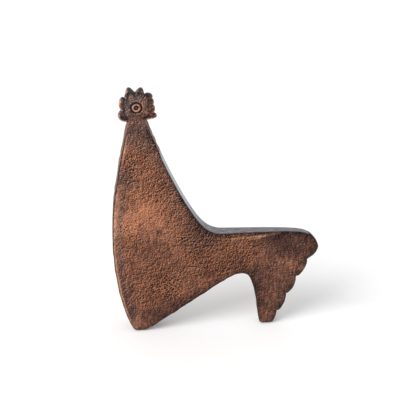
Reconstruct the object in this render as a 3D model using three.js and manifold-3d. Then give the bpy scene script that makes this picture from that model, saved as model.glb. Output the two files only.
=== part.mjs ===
// A hen ornament in cast metal, seen from the side as a flat wedge-shaped slab on two feet.
// It is built as two half castings pinned and bonded back to back on the middle plane, a separate
// cast head whose tang is locked in the neck by a cross pin, and a rubber pad under each foot.
// Millimetres, +Z up. The breast points to -X, the tail to +X, and the front casting faces -Y.

import * as THREE from "three";
import { mergeVertices } from "three/addons/utils/BufferGeometryUtils.js";
import Module from "manifold-3d";

// Body outline. Lengths along X are measured back from the foremost point of the breast,
// heights are measured from the table.
const BREAST_HEIGHT = 97; // height of the foremost point of the breast
const NECK_SETBACK = 17.4; // front edge of the neck at its shoulders
const NECK_WIDTH = 17.6; // the neck at its shoulders, front edge to back edge
const NECK_HEIGHT = 218; // the neck's shoulders, where its sides round over
const CROWN_RISE = 8; // the neck's rounded top above its shoulders
const SADDLE_X = 79.8; // where the back of the neck begins to sweep into the back
const SADDLE_HEIGHT = 122.5;
const BACK_START_X = 107; // where the back has become level
const BACK_HEIGHT = 103.1; // the level back
const RUMP_X = 186; // end of the back, above the tail's tip
const RUMP_DROP = 2.7; // the rump below the level back
const TAIL_TIP_X = 201.9; // hindmost point of the tail
const TAIL_TIP_HEIGHT = 83.5;
const BREAST_FOOT_X = 21; // front of the breast foot's flat
const BREAST_FOOT_LENGTH = 8.5;
const TAIL_FOOT_X = 147.3; // front of the tail foot's flat
const TAIL_FOOT_LENGTH = 9.2;
const FOOT_CORNER_LENGTH = 7.5; // the rounded corner behind the breast foot's flat
const FOOT_CORNER_RISE = 3.6;
const HEEL_CORNER = 2.6; // size of the rounded corner in front of the tail foot's flat
const KEEL_X = 11.5; // where the breast's curve tightens toward its foot
const KEEL_HEIGHT = 18;
const FLANK_X = 112; // where the underside meets the arch
const FLANK_HEIGHT = 53.2;
const ARCH_X = 126.5; // top of the arch between the feet
const ARCH_HEIGHT = 58;

// Tail feathers, as steps cut into the hind edge from the tail foot up to the tail's tip.
const FEATHER_COUNT = 4;
const FIRST_FEATHER = 14.5; // chord of the lowest, shorter feather
const FEATHER_TOP_X = 191.4; // the last step, just under the tail's tip
const FEATHER_TOP_HEIGHT = 69.7;
const FEATHER_BOW = 1.3; // how far the line of steps bows in toward the leg
const FEATHER_STEP = 4.4; // how far each feather stands out at its step
const FIRST_FEATHER_STEP = 2.4;
const FEATHER_ROOT = 0.06; // where along its chord a feather stands out and where it turns back in
const FEATHER_SWELL = 0.74;

// Thickness. Both faces are flat and close in like a wedge from the breast to the tail.
const BREAST_THICKNESS = 26.7;
const TAIL_THICKNESS = 9.7;
const EDGE_RADIUS = 3; // rounding between each face and the ground edge band
const CROWN_DROP = 9; // how far the neck's top rounds down from the head to each face

// Inside of the half castings.
const WALL = 5; // metal round the hollow, in outline
const FACE_WALL = 4; // metal behind each face
const HOLLOW_END_X = 124; // the tail and its leg are too thin to hollow and are cast solid
const HOLLOW_FOOT_WALL = 12; // metal kept above the breast foot
const BOND_LINE = 0.2; // glue between the halves
const FIT = 0.3; // clearance round everything that goes into a hole, socket or recess

// Dowels that line the halves up, and the bosses that hold them.
const DOWEL_RADIUS = 2;
const DOWEL_LENGTH = 8;
const DOWEL_CHAMFER = 0.5;
const BOSS_RADIUS = 6;
const NECK_DOWEL_SETBACK = 5; // behind the middle of the neck's top
const NECK_DOWEL_DROP = 43; // below the neck's shoulders
const BREAST_DOWEL_RISE = 44; // above the table
const BREAST_DOWEL_X = 29;
const BACK_DOWEL_X = 96;
const BACK_DOWEL_DROP = 20; // below the level back
const TAIL_DOWEL_INSET = 32; // ahead of the tail's tip
const TAIL_DOWEL_DROP = 22; // below the level back
const LEG_DOWEL_SETBACK = 1; // behind the middle of the tail foot
const LEG_DOWEL_RISE = 24; // above the table

// Head, a flat casting with a lobed rim. Its lobes are laid out round the eye.
const HEAD_THICKNESS = 7;
const HEAD_EDGE_RADIUS = 1.8;
const HEAD_RADIUS = 14; // from the eye to the deepest notches of the rim
const HEAD_SEAT_WIDTH = 11.2; // between the ends of the rim, inside the neck's outline
const NAPE_LIFT = 2; // lower edge of the head above the neck's shoulders, behind and in front
const BEAK_LIFT = 0.9;
const EYE_X = 26.1;
const EYE_RISE = 14.5; // the eye above the neck's shoulders
const TANG_WIDTH = 10;
const TANG_LENGTH = 20; // below the neck's shoulders
const TANG_THICKNESS = 6;
const HEAD_PIN_RADIUS = 1.5;
const HEAD_PIN_LENGTH = 16;
const HEAD_PIN_DROP = 10; // below the neck's shoulders
const CREASE_RADIUS = 1.2; // the creases that run in from the rim's notches
const CREASE_DEPTH = 0.45;
const CREASE_LENGTH = 5;
const DIMPLE_RADIUS = 1.4; // the small dimples of the lower beak
const DIMPLE_DEPTH = 0.5;

// Eye, concentric rings sunk into both sides of the head.
const EYE_GROOVE_RADIUS = 5.2; // outside of the groove round the raised ring
const EYE_RING_RADIUS = 3.9; // outside of the raised ring
const EYE_CUP_RADIUS = 2.5; // inside of the raised ring
const PUPIL_RADIUS = 1.1;
const EYE_GROOVE_DEPTH = 1;
const EYE_CUP_DEPTH = 1.2;
const PUPIL_DEPTH = 0.4;

// Rubber pads under the feet.
const FOOT_CLEARANCE = 0.8; // the pads hold the metal this far off the table
const PAD_THICKNESS = 1.6;
const PAD_MARGIN = 1; // metal showing round a pad on the flat of a foot
const PAD_CORNER = 1.5;

// Fineness of the curves.
const CURVE_STEPS = 11;
const LOBE_STEPS = 7;
const EDGE_STEPS = 4;
const ROUND_SIDES = 24;
const OVERSHOOT = 1; // how far a cut runs out past the metal

// Relief of the edge rounding where an outline bulges tightly.
const LEAST_EDGE_KEPT = 0.05; // share of its length that an edge keeps when it is moved inward
const ROUNDING_RELIEF = 0.96;
const ROUNDING_REGROWTH = 0.4; // rounding regained for each millimetre along the edge
const ROUNDING_PASSES = 60;
const FOLD_REACH = 12; // how many edges ahead are looked at for a crossing
const SHARPEST_CORNER = 0.6; // a sharper corner of an outline is moved inward no further than this one
const LEAST_WALL_SHARE = 0.97; // how much of its wall a hollow keeps everywhere

const wasm = await Module();
wasm.setup();

// Booleans on closed geometries

function toSolid(geometry) {
  const bare = geometry.clone();
  bare.deleteAttribute("normal");
  bare.deleteAttribute("uv");
  const merged = mergeVertices(bare, 1e-4);
  const vertProperties = new Float32Array(merged.attributes.position.array);
  const triVerts = new Uint32Array(merged.index.array);
  return new wasm.Manifold(new wasm.Mesh({ numProp: 3, vertProperties, triVerts }));
}

function toGeometry(solid) {
  const mesh = solid.getMesh();
  const geometry = new THREE.BufferGeometry();
  geometry.setAttribute("position", new THREE.BufferAttribute(mesh.vertProperties, 3));
  geometry.setIndex(new THREE.BufferAttribute(mesh.triVerts, 1));
  geometry.computeVertexNormals();
  return geometry;
}

function shaped(base, added, removed) {
  let solid = toSolid(base);
  for (const piece of added) solid = solid.add(toSolid(piece));
  for (const piece of removed) solid = solid.subtract(toSolid(piece));
  return toGeometry(solid);
}

// Simple forms, placed where they are used

// The same closed form on the other side of the middle plane, with its faces turned to point out.
function mirrored(geometry) {
  const copy = geometry.clone().scale(1, -1, 1);
  const index = copy.index.array;
  for (let i = 0; i < index.length; i += 3) [index[i], index[i + 1]] = [index[i + 1], index[i]];
  copy.computeVertexNormals();
  return copy;
}

// A round bar across the slab, from one distance from the middle plane to another.
function crossBar(radius, x, z, fromY, toY) {
  const bar = new THREE.CylinderGeometry(radius, radius, Math.abs(toY - fromY), ROUND_SIDES);
  return bar.translate(x, (fromY + toY) / 2, z);
}

function block(minX, maxX, minY, maxY, minZ, maxZ) {
  const box = new THREE.BoxGeometry(maxX - minX, maxY - minY, maxZ - minZ);
  return box.translate((minX + maxX) / 2, (minY + maxY) / 2, (minZ + maxZ) / 2);
}

// An outline in the X-Y plane with rounded corners, standing up from height z.
function roundedPlate(x, lengthX, widthY, corner, z, height) {
  const plate = new THREE.Shape();
  const a = lengthX / 2;
  const b = widthY / 2;
  plate.moveTo(-a + corner, -b);
  plate.lineTo(a - corner, -b);
  plate.quadraticCurveTo(a, -b, a, -b + corner);
  plate.lineTo(a, b - corner);
  plate.quadraticCurveTo(a, b, a - corner, b);
  plate.lineTo(-a + corner, b);
  plate.quadraticCurveTo(-a, b, -a, b - corner);
  plate.lineTo(-a, -b + corner);
  plate.quadraticCurveTo(-a, -b, -a + corner, -b);
  const solid = new THREE.ExtrudeGeometry(plate, { depth: height, bevelEnabled: false, curveSegments: 5 });
  return solid.translate(x, 0, z);
}

// Outlines, as lists of points (x, z) in the plane of the slab

// A closed outline without its repeated last point, run counterclockwise.
function outlinePoints(shape, steps) {
  const points = shape.getPoints(steps);
  if (points[0].distanceTo(points[points.length - 1]) < 1e-6) points.pop();
  if (THREE.ShapeUtils.isClockWise(points)) points.reverse();
  return points;
}

// Moves each point of a counterclockwise outline inward, along the mean of its two edges' normals.
// A share below 1 holds a point back.
function inset(points, distance, shares) {
  const count = points.length;
  return points.map((point, i) => {
    const before = points[(i + count - 1) % count];
    const after = points[(i + 1) % count];
    const u = point.clone().sub(before).normalize();
    const v = after.clone().sub(point).normalize();
    const inward = new THREE.Vector2(-u.y - v.y, u.x + v.x).normalize();
    const stretch = 1 / Math.max(inward.dot(new THREE.Vector2(-u.y, u.x)), SHARPEST_CORNER);
    return point.clone().addScaledVector(inward, distance * stretch * (shares ? shares[i] : 1));
  });
}

// How much of an edge rounding each point can take: all of it, except where the outline bulges too
// tightly. There the points are held back, little by little, until the moved outline folds nowhere,
// and the hold eases off along the edge.
function roundingShares(points, radius) {
  const shares = points.map(() => 1);
  for (let pass = 0; pass < ROUNDING_PASSES; pass += 1) {
    const folded = foldedPoints(points, inset(points, radius, shares));
    if (folded.size === 0) break;
    for (const i of folded) shares[i] *= ROUNDING_RELIEF;
    easeOff(points, shares, radius);
  }
  return shares;
}

// The points of a moved outline where an edge turns back or crosses one of the next few.
function foldedPoints(points, moved) {
  const count = points.length;
  const folded = new Set();
  for (let i = 0; i < count; i += 1) {
    const next = (i + 1) % count;
    const edge = points[next].clone().sub(points[i]);
    const kept = moved[next].clone().sub(moved[i]).dot(edge) / edge.lengthSq();
    if (kept < LEAST_EDGE_KEPT) folded.add(i).add(next);
    for (let ahead = 2; ahead <= FOLD_REACH; ahead += 1) {
      const [c, d] = [(i + ahead) % count, (i + ahead + 1) % count];
      if (!edgesCross(moved[i], moved[next], moved[c], moved[d])) continue;
      for (let k = 0; k <= ahead + 1; k += 1) folded.add((i + k) % count);
    }
  }
  return folded;
}

function edgesCross(a, b, c, d) {
  const side = (p, q, r) => (q.x - p.x) * (r.y - p.y) - (q.y - p.y) * (r.x - p.x);
  return side(a, b, c) * side(a, b, d) < 0 && side(c, d, a) * side(c, d, b) < 0;
}

// Lets a share grow back only gradually away from a place that is held back.
function easeOff(points, shares, radius) {
  const count = points.length;
  const follow = (to, from) => {
    const step = (points[to].distanceTo(points[from]) * ROUNDING_REGROWTH) / radius;
    shares[to] = Math.min(shares[to], shares[from] + step);
  };
  for (let i = 1; i < 2 * count; i += 1) follow(i % count, (i - 1) % count);
  for (let i = 2 * count; i > 0; i -= 1) follow((i - 1) % count, i % count);
}

function distanceToOutline(point, outline) {
  const segment = new THREE.Line3();
  const nearest = new THREE.Vector3();
  const target = new THREE.Vector3(point.x, point.y, 0);
  let least = Infinity;
  outline.forEach((start, i) => {
    const end = outline[(i + 1) % outline.length];
    segment.start.set(start.x, start.y, 0);
    segment.end.set(end.x, end.y, 0);
    segment.closestPointToPoint(target, true, nearest);
    least = Math.min(least, nearest.distanceTo(target));
  });
  return least;
}

// The part of the outline, moved inward by a wall, that lies in a region and comes no nearer than
// that wall to another edge.
function innerOutline(points, wall, region) {
  const least = wall * LEAST_WALL_SHARE;
  const isInner = (point) => region.containsPoint(point) && distanceToOutline(point, points) > least;
  return inset(points, wall).filter(isInner);
}

// Solids between outlines

// A closed solid through rings of equally many points, with a flat cap on the first and the last.
function ringSolid(rings) {
  const count = rings[0].length;
  const vertices = rings.flat();
  const faces = [];
  for (let r = 0; r + 1 < rings.length; r += 1) {
    for (let i = 0; i < count; i += 1) {
      const a = r * count + i;
      const b = r * count + ((i + 1) % count);
      faces.push([a, b, b + count], [a, b + count, a + count]);
    }
  }
  const flat = (ring) => ring.map((p) => new THREE.Vector2(p.x, p.z));
  const last = (rings.length - 1) * count;
  for (const [a, b, c] of THREE.ShapeUtils.triangulateShape(flat(rings[0]), [])) faces.push([a, c, b]);
  for (const [a, b, c] of THREE.ShapeUtils.triangulateShape(flat(rings[rings.length - 1]), [])) {
    faces.push([last + a, last + b, last + c]);
  }
  const geometry = new THREE.BufferGeometry().setFromPoints(vertices);
  geometry.setIndex(outwardFaces(vertices, faces).flat());
  return geometry;
}

// Turns the faces of a closed solid to point out, whichever way its rings ran.
function outwardFaces(vertices, faces) {
  let volume = 0;
  for (const [a, b, c] of faces) {
    volume += vertices[a].dot(new THREE.Vector3().crossVectors(vertices[b], vertices[c]));
  }
  return volume > 0 ? faces : faces.map(([a, b, c]) => [a, c, b]);
}

// An outline raised into a ring, whose distance from the middle plane may vary with x.
function ringAt(points, distanceAt) {
  return points.map((p) => new THREE.Vector3(p.x, -distanceAt(p.x), p.y));
}

// Rings round a quarter-round edge, from the side wall over to the face.
function edgeRings(points, radius, faceAt, side) {
  const shares = roundingShares(points, radius);
  const rings = [];
  for (let step = 0; step <= EDGE_STEPS; step += 1) {
    const turn = (step / EDGE_STEPS) * (Math.PI / 2);
    const moved = inset(points, radius * (1 - Math.cos(turn)), shares);
    rings.push(ringAt(moved, (x) => side * (faceAt(x) - radius * (1 - Math.sin(turn)))));
  }
  return rings;
}

// The body's outline

// Runs a curve through nodes. Each has the heading of the curve there, in degrees, and the lengths
// of its handles before and after the node, as shares of the distance to that neighbour.
function curveThrough(shape, nodes) {
  const handle = (node, length) => {
    const turn = THREE.MathUtils.degToRad(node.heading);
    return new THREE.Vector2(node.x + length * Math.cos(turn), node.z + length * Math.sin(turn));
  };
  for (let i = 0; i + 1 < nodes.length; i += 1) {
    const [from, to] = [nodes[i], nodes[i + 1]];
    const apart = Math.hypot(to.x - from.x, to.z - from.z);
    const first = handle(from, from.after * apart);
    const second = handle(to, -to.before * apart);
    shape.bezierCurveTo(first.x, first.y, second.x, second.y, to.x, to.z);
  }
}

// From the tail's tip along the back, up and over the neck, and down the breast to its foot.
function upperNodes() {
  const neckBack = NECK_SETBACK + NECK_WIDTH;
  const crown = NECK_HEIGHT + CROWN_RISE;
  return [
    { name: "feather top", x: FEATHER_TOP_X, z: FEATHER_TOP_HEIGHT, heading: 23, after: 0.23 },
    { name: "tail tip", x: TAIL_TIP_X, z: TAIL_TIP_HEIGHT, heading: 90, before: 0.35, after: 0.27 },
    { name: "rump", x: RUMP_X, z: BACK_HEIGHT - RUMP_DROP, heading: 166, before: 0.4, after: 0.13 },
    { name: "back", x: BACK_START_X, z: BACK_HEIGHT, heading: 180, before: 0.57, after: 0.34 },
    { name: "saddle", x: SADDLE_X, z: SADDLE_HEIGHT, heading: 122, before: 0.45, after: 0.34 },
    { name: "nape", x: neckBack, z: NECK_HEIGHT, heading: 112, before: 0.35, after: 0.34 },
    { name: "crown", x: neckMiddle, z: crown, heading: 180, before: 0.43, after: 0.43 },
    { name: "throat", x: NECK_SETBACK, z: NECK_HEIGHT, heading: -102, before: 0.34, after: 0.38 },
    { name: "breast", x: 0, z: BREAST_HEIGHT, heading: -90, before: 0.35, after: 0.33 },
    { name: "keel", x: KEEL_X, z: KEEL_HEIGHT, heading: -72, before: 0.28, after: 0.48 },
    { name: "breast foot", x: BREAST_FOOT_X, z: FOOT_CLEARANCE, heading: 0, before: 0.2 },
  ];
}

// From the breast foot along the belly, over the arch and down to the tail foot.
function lowerNodes() {
  const corner = {
    x: BREAST_FOOT_X + BREAST_FOOT_LENGTH + FOOT_CORNER_LENGTH,
    z: FOOT_CLEARANCE + FOOT_CORNER_RISE,
  };
  const heel = { x: TAIL_FOOT_X - HEEL_CORNER, z: FOOT_CLEARANCE + HEEL_CORNER };
  return [
    { name: "foot end", x: BREAST_FOOT_X + BREAST_FOOT_LENGTH, z: FOOT_CLEARANCE, heading: 0, after: 0.2 },
    { name: "foot corner", ...corner, heading: 31, before: 0.6, after: 0.35 },
    { name: "flank", x: FLANK_X, z: FLANK_HEIGHT, heading: 31, before: 0.26, after: 0.39 },
    { name: "arch", x: ARCH_X, z: ARCH_HEIGHT, heading: 0, before: 0.33, after: 0.24 },
    { name: "heel", ...heel, heading: -79, before: 0.32, after: 0.41 },
    { name: "tail foot", x: TAIL_FOOT_X, z: FOOT_CLEARANCE, heading: 0, before: 0.41 },
  ];
}

function bodyShape() {
  const shape = new THREE.Shape();
  shape.moveTo(FEATHER_TOP_X, FEATHER_TOP_HEIGHT);
  curveThrough(shape, upperNodes());
  shape.lineTo(BREAST_FOOT_X + BREAST_FOOT_LENGTH, FOOT_CLEARANCE);
  curveThrough(shape, lowerNodes());
  shape.lineTo(TAIL_FOOT_X + TAIL_FOOT_LENGTH, FOOT_CLEARANCE);
  addFeathers(shape);
  shape.closePath();
  return shape;
}

// The hind edge: steps along a slightly bowed line, each a feather that juts out and curves back in.
function addFeathers(shape) {
  const start = shape.currentPoint.clone();
  const top = new THREE.Vector2(FEATHER_TOP_X, FEATHER_TOP_HEIGHT);
  const along = top.clone().sub(start).normalize();
  const outward = new THREE.Vector2(along.y, -along.x);
  const middle = start.clone().add(top).multiplyScalar(0.5).addScaledVector(outward, -2 * FEATHER_BOW);
  const line = new THREE.QuadraticBezierCurve(start, middle, top);
  const firstShare = FIRST_FEATHER / line.getLength();
  let from = start;
  for (let i = 0; i < FEATHER_COUNT; i += 1) {
    const share = firstShare + ((1 - firstShare) * i) / (FEATHER_COUNT - 1);
    const to = line.getPointAt(Math.min(share, 1));
    const chord = to.clone().sub(from);
    const jut = outward.clone().multiplyScalar(i === 0 ? FIRST_FEATHER_STEP : FEATHER_STEP);
    const low = from.clone().addScaledVector(chord, FEATHER_ROOT).add(jut);
    const high = from.clone().addScaledVector(chord, FEATHER_SWELL).add(jut);
    shape.bezierCurveTo(low.x, low.y, high.x, high.y, to.x, to.y);
    from = to;
  }
}

// Half of the slab's thickness at a distance x from the breast.
function halfThickness(x) {
  const share = x / TAIL_TIP_X;
  return (BREAST_THICKNESS + (TAIL_THICKNESS - BREAST_THICKNESS) * share) / 2;
}

// The half castings

const neckMiddle = NECK_SETBACK + NECK_WIDTH / 2;
const bodyOutline = outlinePoints(bodyShape(), CURVE_STEPS);
const tailFootMiddle = TAIL_FOOT_X + TAIL_FOOT_LENGTH / 2;
const breastFootMiddle = BREAST_FOOT_X + BREAST_FOOT_LENGTH / 2;

const DOWELS = [
  { name: "dowel_neck", x: neckMiddle + NECK_DOWEL_SETBACK, z: NECK_HEIGHT - NECK_DOWEL_DROP, boss: true },
  { name: "dowel_breast", x: BREAST_DOWEL_X, z: BREAST_DOWEL_RISE, boss: true },
  { name: "dowel_back", x: BACK_DOWEL_X, z: BACK_HEIGHT - BACK_DOWEL_DROP, boss: true },
  { name: "dowel_tail", x: TAIL_TIP_X - TAIL_DOWEL_INSET, z: BACK_HEIGHT - TAIL_DOWEL_DROP, boss: false },
  { name: "dowel_leg", x: tailFootMiddle + LEG_DOWEL_SETBACK, z: LEG_DOWEL_RISE, boss: false },
];

// Outer form of the front half, from the bond line to its rounded face.
function halfSlab() {
  const seam = ringAt(bodyOutline, () => BOND_LINE / 2);
  return ringSolid([seam, ...edgeRings(bodyOutline, EDGE_RADIUS, halfThickness, 1)]);
}

// The hollow behind the face, open on the bond line. The floor follows the face at an even wall.
function hollow() {
  const lowest = new THREE.Vector2(0, FOOT_CLEARANCE + HOLLOW_FOOT_WALL);
  const highest = new THREE.Vector2(HOLLOW_END_X, NECK_HEIGHT - TANG_LENGTH - WALL);
  const inner = innerOutline(bodyOutline, WALL, new THREE.Box2(lowest, highest));
  return ringSolid([ringAt(inner, () => -OVERSHOOT), ringAt(inner, (x) => halfThickness(x) - FACE_WALL)]);
}

// What rounds off the neck's top in front of the head: all that lies above a quarter ellipse.
function crownCutter() {
  const inner = HEAD_THICKNESS / 2;
  const outer = halfThickness(NECK_SETBACK) + OVERSHOOT;
  const foot = NECK_HEIGHT + CROWN_RISE - CROWN_DROP;
  const beyond = outer + WALL;
  const above = NECK_HEIGHT + 2 * CROWN_RISE;
  const shape = new THREE.Shape();
  shape.moveTo(-outer, foot);
  shape.absellipse(-inner, foot, outer - inner, CROWN_DROP, Math.PI, Math.PI / 2, true);
  shape.lineTo(-inner, above);
  shape.lineTo(-beyond, above);
  shape.lineTo(-beyond, foot);
  shape.closePath();
  const depth = NECK_WIDTH + 2 * WALL;
  const cutter = new THREE.ExtrudeGeometry(shape, { depth, bevelEnabled: false, curveSegments: 8 });
  const axes = [new THREE.Vector3(0, 1, 0), new THREE.Vector3(0, 0, 1), new THREE.Vector3(1, 0, 0)];
  cutter.applyMatrix4(new THREE.Matrix4().makeBasis(...axes));
  return cutter.translate(NECK_SETBACK - WALL, 0, 0);
}

// The socket that both halves share for the head's tang, open at the neck's top.
function tangSocket() {
  const reachX = TANG_WIDTH / 2 + FIT;
  const reachY = TANG_THICKNESS / 2 + FIT;
  const floor = NECK_HEIGHT - TANG_LENGTH - FIT;
  const above = NECK_HEIGHT + 2 * CROWN_RISE;
  return block(neckMiddle - reachX, neckMiddle + reachX, -reachY, reachY, floor, above);
}

function footRecess(pad) {
  const top = PAD_THICKNESS + FIT;
  const [length, width] = [pad.length + 2 * FIT, pad.width + 2 * FIT];
  return roundedPlate(pad.x, length, width, PAD_CORNER, -OVERSHOOT, top + OVERSHOOT);
}

function frontShellGeometry() {
  const bosses = DOWELS.filter((dowel) => dowel.boss).map((dowel) => {
    const root = halfThickness(dowel.x) - FACE_WALL / 2;
    return crossBar(BOSS_RADIUS, dowel.x, dowel.z, -root, -BOND_LINE / 2);
  });
  const dowelHoles = DOWELS.map((dowel) => {
    return crossBar(DOWEL_RADIUS + FIT, dowel.x, dowel.z, -DOWEL_LENGTH / 2 - FIT, OVERSHOOT);
  });
  const pinHole = crossBar(
    HEAD_PIN_RADIUS + FIT, neckMiddle, NECK_HEIGHT - HEAD_PIN_DROP,
    -HEAD_PIN_LENGTH / 2 - FIT, OVERSHOOT,
  );
  const hollowed = shaped(halfSlab(), [], [hollow()]);
  const removed = [...dowelHoles, pinHole, tangSocket(), crownCutter(), ...PADS.map(footRecess)];
  return shaped(hollowed, bosses, removed);
}

// The head

// Lobes of the rim, anticlockwise from the one behind the neck: where each tip points and how far
// it stands out from the head's radius, how broad it is as a share of its own width, and the notch
// that follows it.
const LOBES = [
  { name: "nape", angle: -30, out: 6.6, breadth: 0.26, notchAngle: -20.5, notchOut: 2.6 },
  { name: "low scallop", angle: -6, out: 3.5, breadth: 0.28, notchAngle: 7.5, notchOut: 1.3 },
  { name: "high scallop", angle: 18, out: 3.3, breadth: 0.33, notchAngle: 30, notchOut: 1.8 },
  { name: "hind comb", angle: 41, out: 4.4, breadth: 0.61, notchAngle: 57, notchOut: 0.2 },
  { name: "back spike", angle: 75, out: 4.8, breadth: 0.19, notchAngle: 94, notchOut: -0.2 },
  { name: "front spike", angle: 112, out: 5.8, breadth: 0.12, notchAngle: 140.5, notchOut: 0 },
  { name: "upper beak", angle: 161, out: 2.7, breadth: 0.51, notchAngle: 191.5, notchOut: 0 },
];
const LOWER_BEAK = { angle: 214, out: 5.6, breadth: 0.37 };
const BEAK_DIMPLES = [
  { angle: 215, out: 1 },
  { angle: 229, out: -1 },
  { angle: 239, out: 1.4 },
];

// A point at an angle round the eye, at the head's radius and a distance out from it.
function fromEye(angle, out) {
  const turn = THREE.MathUtils.degToRad(angle);
  const reach = HEAD_RADIUS + out;
  return new THREE.Vector2(EYE_X + reach * Math.cos(turn), NECK_HEIGHT + EYE_RISE + reach * Math.sin(turn));
}

// A lobe from one notch to the next, as one cubic curve whose middle passes through the tip. Its
// middle is a quarter of the mean of its ends and three quarters of the mean of its controls.
function addLobe(shape, lobe, to) {
  const endShare = 1 / 4;
  const from = shape.currentPoint.clone();
  const tip = fromEye(lobe.angle, lobe.out);
  const middle = from.clone().add(to).multiplyScalar(0.5);
  const pull = tip.clone().addScaledVector(middle, -endShare).divideScalar(1 - endShare);
  const across = to.clone().sub(from).multiplyScalar(lobe.breadth);
  const first = pull.clone().sub(across);
  const second = pull.clone().add(across);
  shape.bezierCurveTo(first.x, first.y, second.x, second.y, to.x, to.y);
}

// The lobes run from inside the neck's outline round to its other side. The neck is cut out later.
function headShape() {
  const shape = new THREE.Shape();
  shape.moveTo(neckMiddle + HEAD_SEAT_WIDTH / 2, NECK_HEIGHT + NAPE_LIFT);
  for (const lobe of LOBES) addLobe(shape, lobe, fromEye(lobe.notchAngle, lobe.notchOut));
  addLobe(shape, LOWER_BEAK, new THREE.Vector2(neckMiddle - HEAD_SEAT_WIDTH / 2, NECK_HEIGHT + BEAK_LIFT));
  shape.closePath();
  return shape;
}

// The neck with its clearance, as the slot that lets the head straddle the neck's rounded top.
function neckSlot() {
  const shape = new THREE.Shape(inset(bodyOutline, -FIT));
  const depth = 2 * HEAD_THICKNESS;
  const slot = new THREE.ExtrudeGeometry(shape, { depth, bevelEnabled: false });
  return slot.rotateX(Math.PI / 2).translate(0, depth / 2, 0);
}

function headPlate() {
  const outline = outlinePoints(headShape(), LOBE_STEPS);
  const half = () => HEAD_THICKNESS / 2;
  const back = edgeRings(outline, HEAD_EDGE_RADIUS, half, -1).reverse();
  const front = edgeRings(outline, HEAD_EDGE_RADIUS, half, 1);
  return ringSolid([...back, ...front]);
}

// The eye's sunk form, turned about its own axis: a cup with the pupil standing in it, the ring left
// at the face's height, and the groove round that.
function eyeCutters() {
  const rise = OVERSHOOT;
  const cup = new THREE.LatheGeometry([
    new THREE.Vector2(0, rise),
    new THREE.Vector2(EYE_CUP_RADIUS, rise),
    new THREE.Vector2(EYE_CUP_RADIUS, 0),
    new THREE.Vector2(PUPIL_RADIUS + (EYE_CUP_RADIUS - PUPIL_RADIUS) / 2, -EYE_CUP_DEPTH),
    new THREE.Vector2(PUPIL_RADIUS, -PUPIL_DEPTH),
    new THREE.Vector2(0, -PUPIL_DEPTH),
  ], ROUND_SIDES);
  const groove = new THREE.LatheGeometry([
    new THREE.Vector2(EYE_RING_RADIUS, rise),
    new THREE.Vector2(EYE_GROOVE_RADIUS, rise),
    new THREE.Vector2(EYE_GROOVE_RADIUS, 0),
    new THREE.Vector2((EYE_RING_RADIUS + EYE_GROOVE_RADIUS) / 2, -EYE_GROOVE_DEPTH),
    new THREE.Vector2(EYE_RING_RADIUS, 0),
    new THREE.Vector2(EYE_RING_RADIUS, rise),
  ], ROUND_SIDES);
  return [cup, groove].flatMap((cutter) => {
    const placed = outwardCopy(cutter).rotateX(Math.PI);
    placed.translate(EYE_X, -HEAD_THICKNESS / 2, NECK_HEIGHT + EYE_RISE);
    return [placed, mirrored(placed)];
  });
}

// Shallow creases from the rim's notches toward the eye, on both sides of the head.
function creaseCutters() {
  const lift = HEAD_THICKNESS / 2 + CREASE_RADIUS - CREASE_DEPTH;
  return LOBES.flatMap((lobe) => {
    const middle = fromEye(lobe.notchAngle, lobe.notchOut + OVERSHOOT - CREASE_LENGTH / 2);
    const bar = new THREE.CylinderGeometry(CREASE_RADIUS, CREASE_RADIUS, CREASE_LENGTH, ROUND_SIDES);
    bar.rotateX(Math.PI / 2).rotateY(Math.PI / 2 - THREE.MathUtils.degToRad(lobe.notchAngle));
    bar.translate(middle.x, -lift, middle.y);
    return [bar, mirrored(bar)];
  });
}

// Small round dimples in the lower beak, on both sides of the head.
function dimpleCutters() {
  const lift = HEAD_THICKNESS / 2 + DIMPLE_RADIUS - DIMPLE_DEPTH;
  return BEAK_DIMPLES.flatMap((dimple) => {
    const middle = fromEye(dimple.angle, dimple.out);
    const ball = outwardCopy(new THREE.SphereGeometry(DIMPLE_RADIUS, ROUND_SIDES / 2, ROUND_SIDES / 3));
    ball.translate(middle.x, -lift, middle.y);
    return [ball, mirrored(ball)];
  });
}

// A turned form with its seam and poles closed and its faces pointing out.
function outwardCopy(geometry) {
  const bare = geometry.clone();
  bare.deleteAttribute("normal");
  bare.deleteAttribute("uv");
  const merged = mergeVertices(bare, 1e-4);
  const position = merged.attributes.position;
  const vertices = Array.from({ length: position.count }, (_, i) => {
    return new THREE.Vector3().fromBufferAttribute(position, i);
  });
  const faces = [];
  const index = merged.index.array;
  for (let i = 0; i < index.length; i += 3) {
    const [a, b, c] = index.slice(i, i + 3);
    if (a !== b && b !== c && c !== a) faces.push([a, b, c]);
  }
  merged.setIndex(outwardFaces(vertices, faces).flat());
  return merged;
}

function headGeometry() {
  const tang = block(
    neckMiddle - TANG_WIDTH / 2, neckMiddle + TANG_WIDTH / 2,
    -TANG_THICKNESS / 2, TANG_THICKNESS / 2,
    NECK_HEIGHT - TANG_LENGTH, NECK_HEIGHT + EYE_RISE / 2,
  );
  const reach = HEAD_THICKNESS;
  const pinHole = crossBar(HEAD_PIN_RADIUS + FIT, neckMiddle, NECK_HEIGHT - HEAD_PIN_DROP, -reach, reach);
  const slotted = shaped(headPlate(), [], [neckSlot()]);
  return shaped(slotted, [tang], [pinHole, ...eyeCutters(), ...creaseCutters(), ...dimpleCutters()]);
}

// Pins and pads

// A round pin across the slab with a chamfer at both ends.
function pinGeometry(radius, length, chamfer, x, z) {
  const profile = [
    new THREE.Vector2(0, -length / 2),
    new THREE.Vector2(radius - chamfer, -length / 2),
    new THREE.Vector2(radius, -length / 2 + chamfer),
    new THREE.Vector2(radius, length / 2 - chamfer),
    new THREE.Vector2(radius - chamfer, length / 2),
    new THREE.Vector2(0, length / 2),
  ];
  return new THREE.LatheGeometry(profile, ROUND_SIDES).translate(x, 0, z);
}

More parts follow.
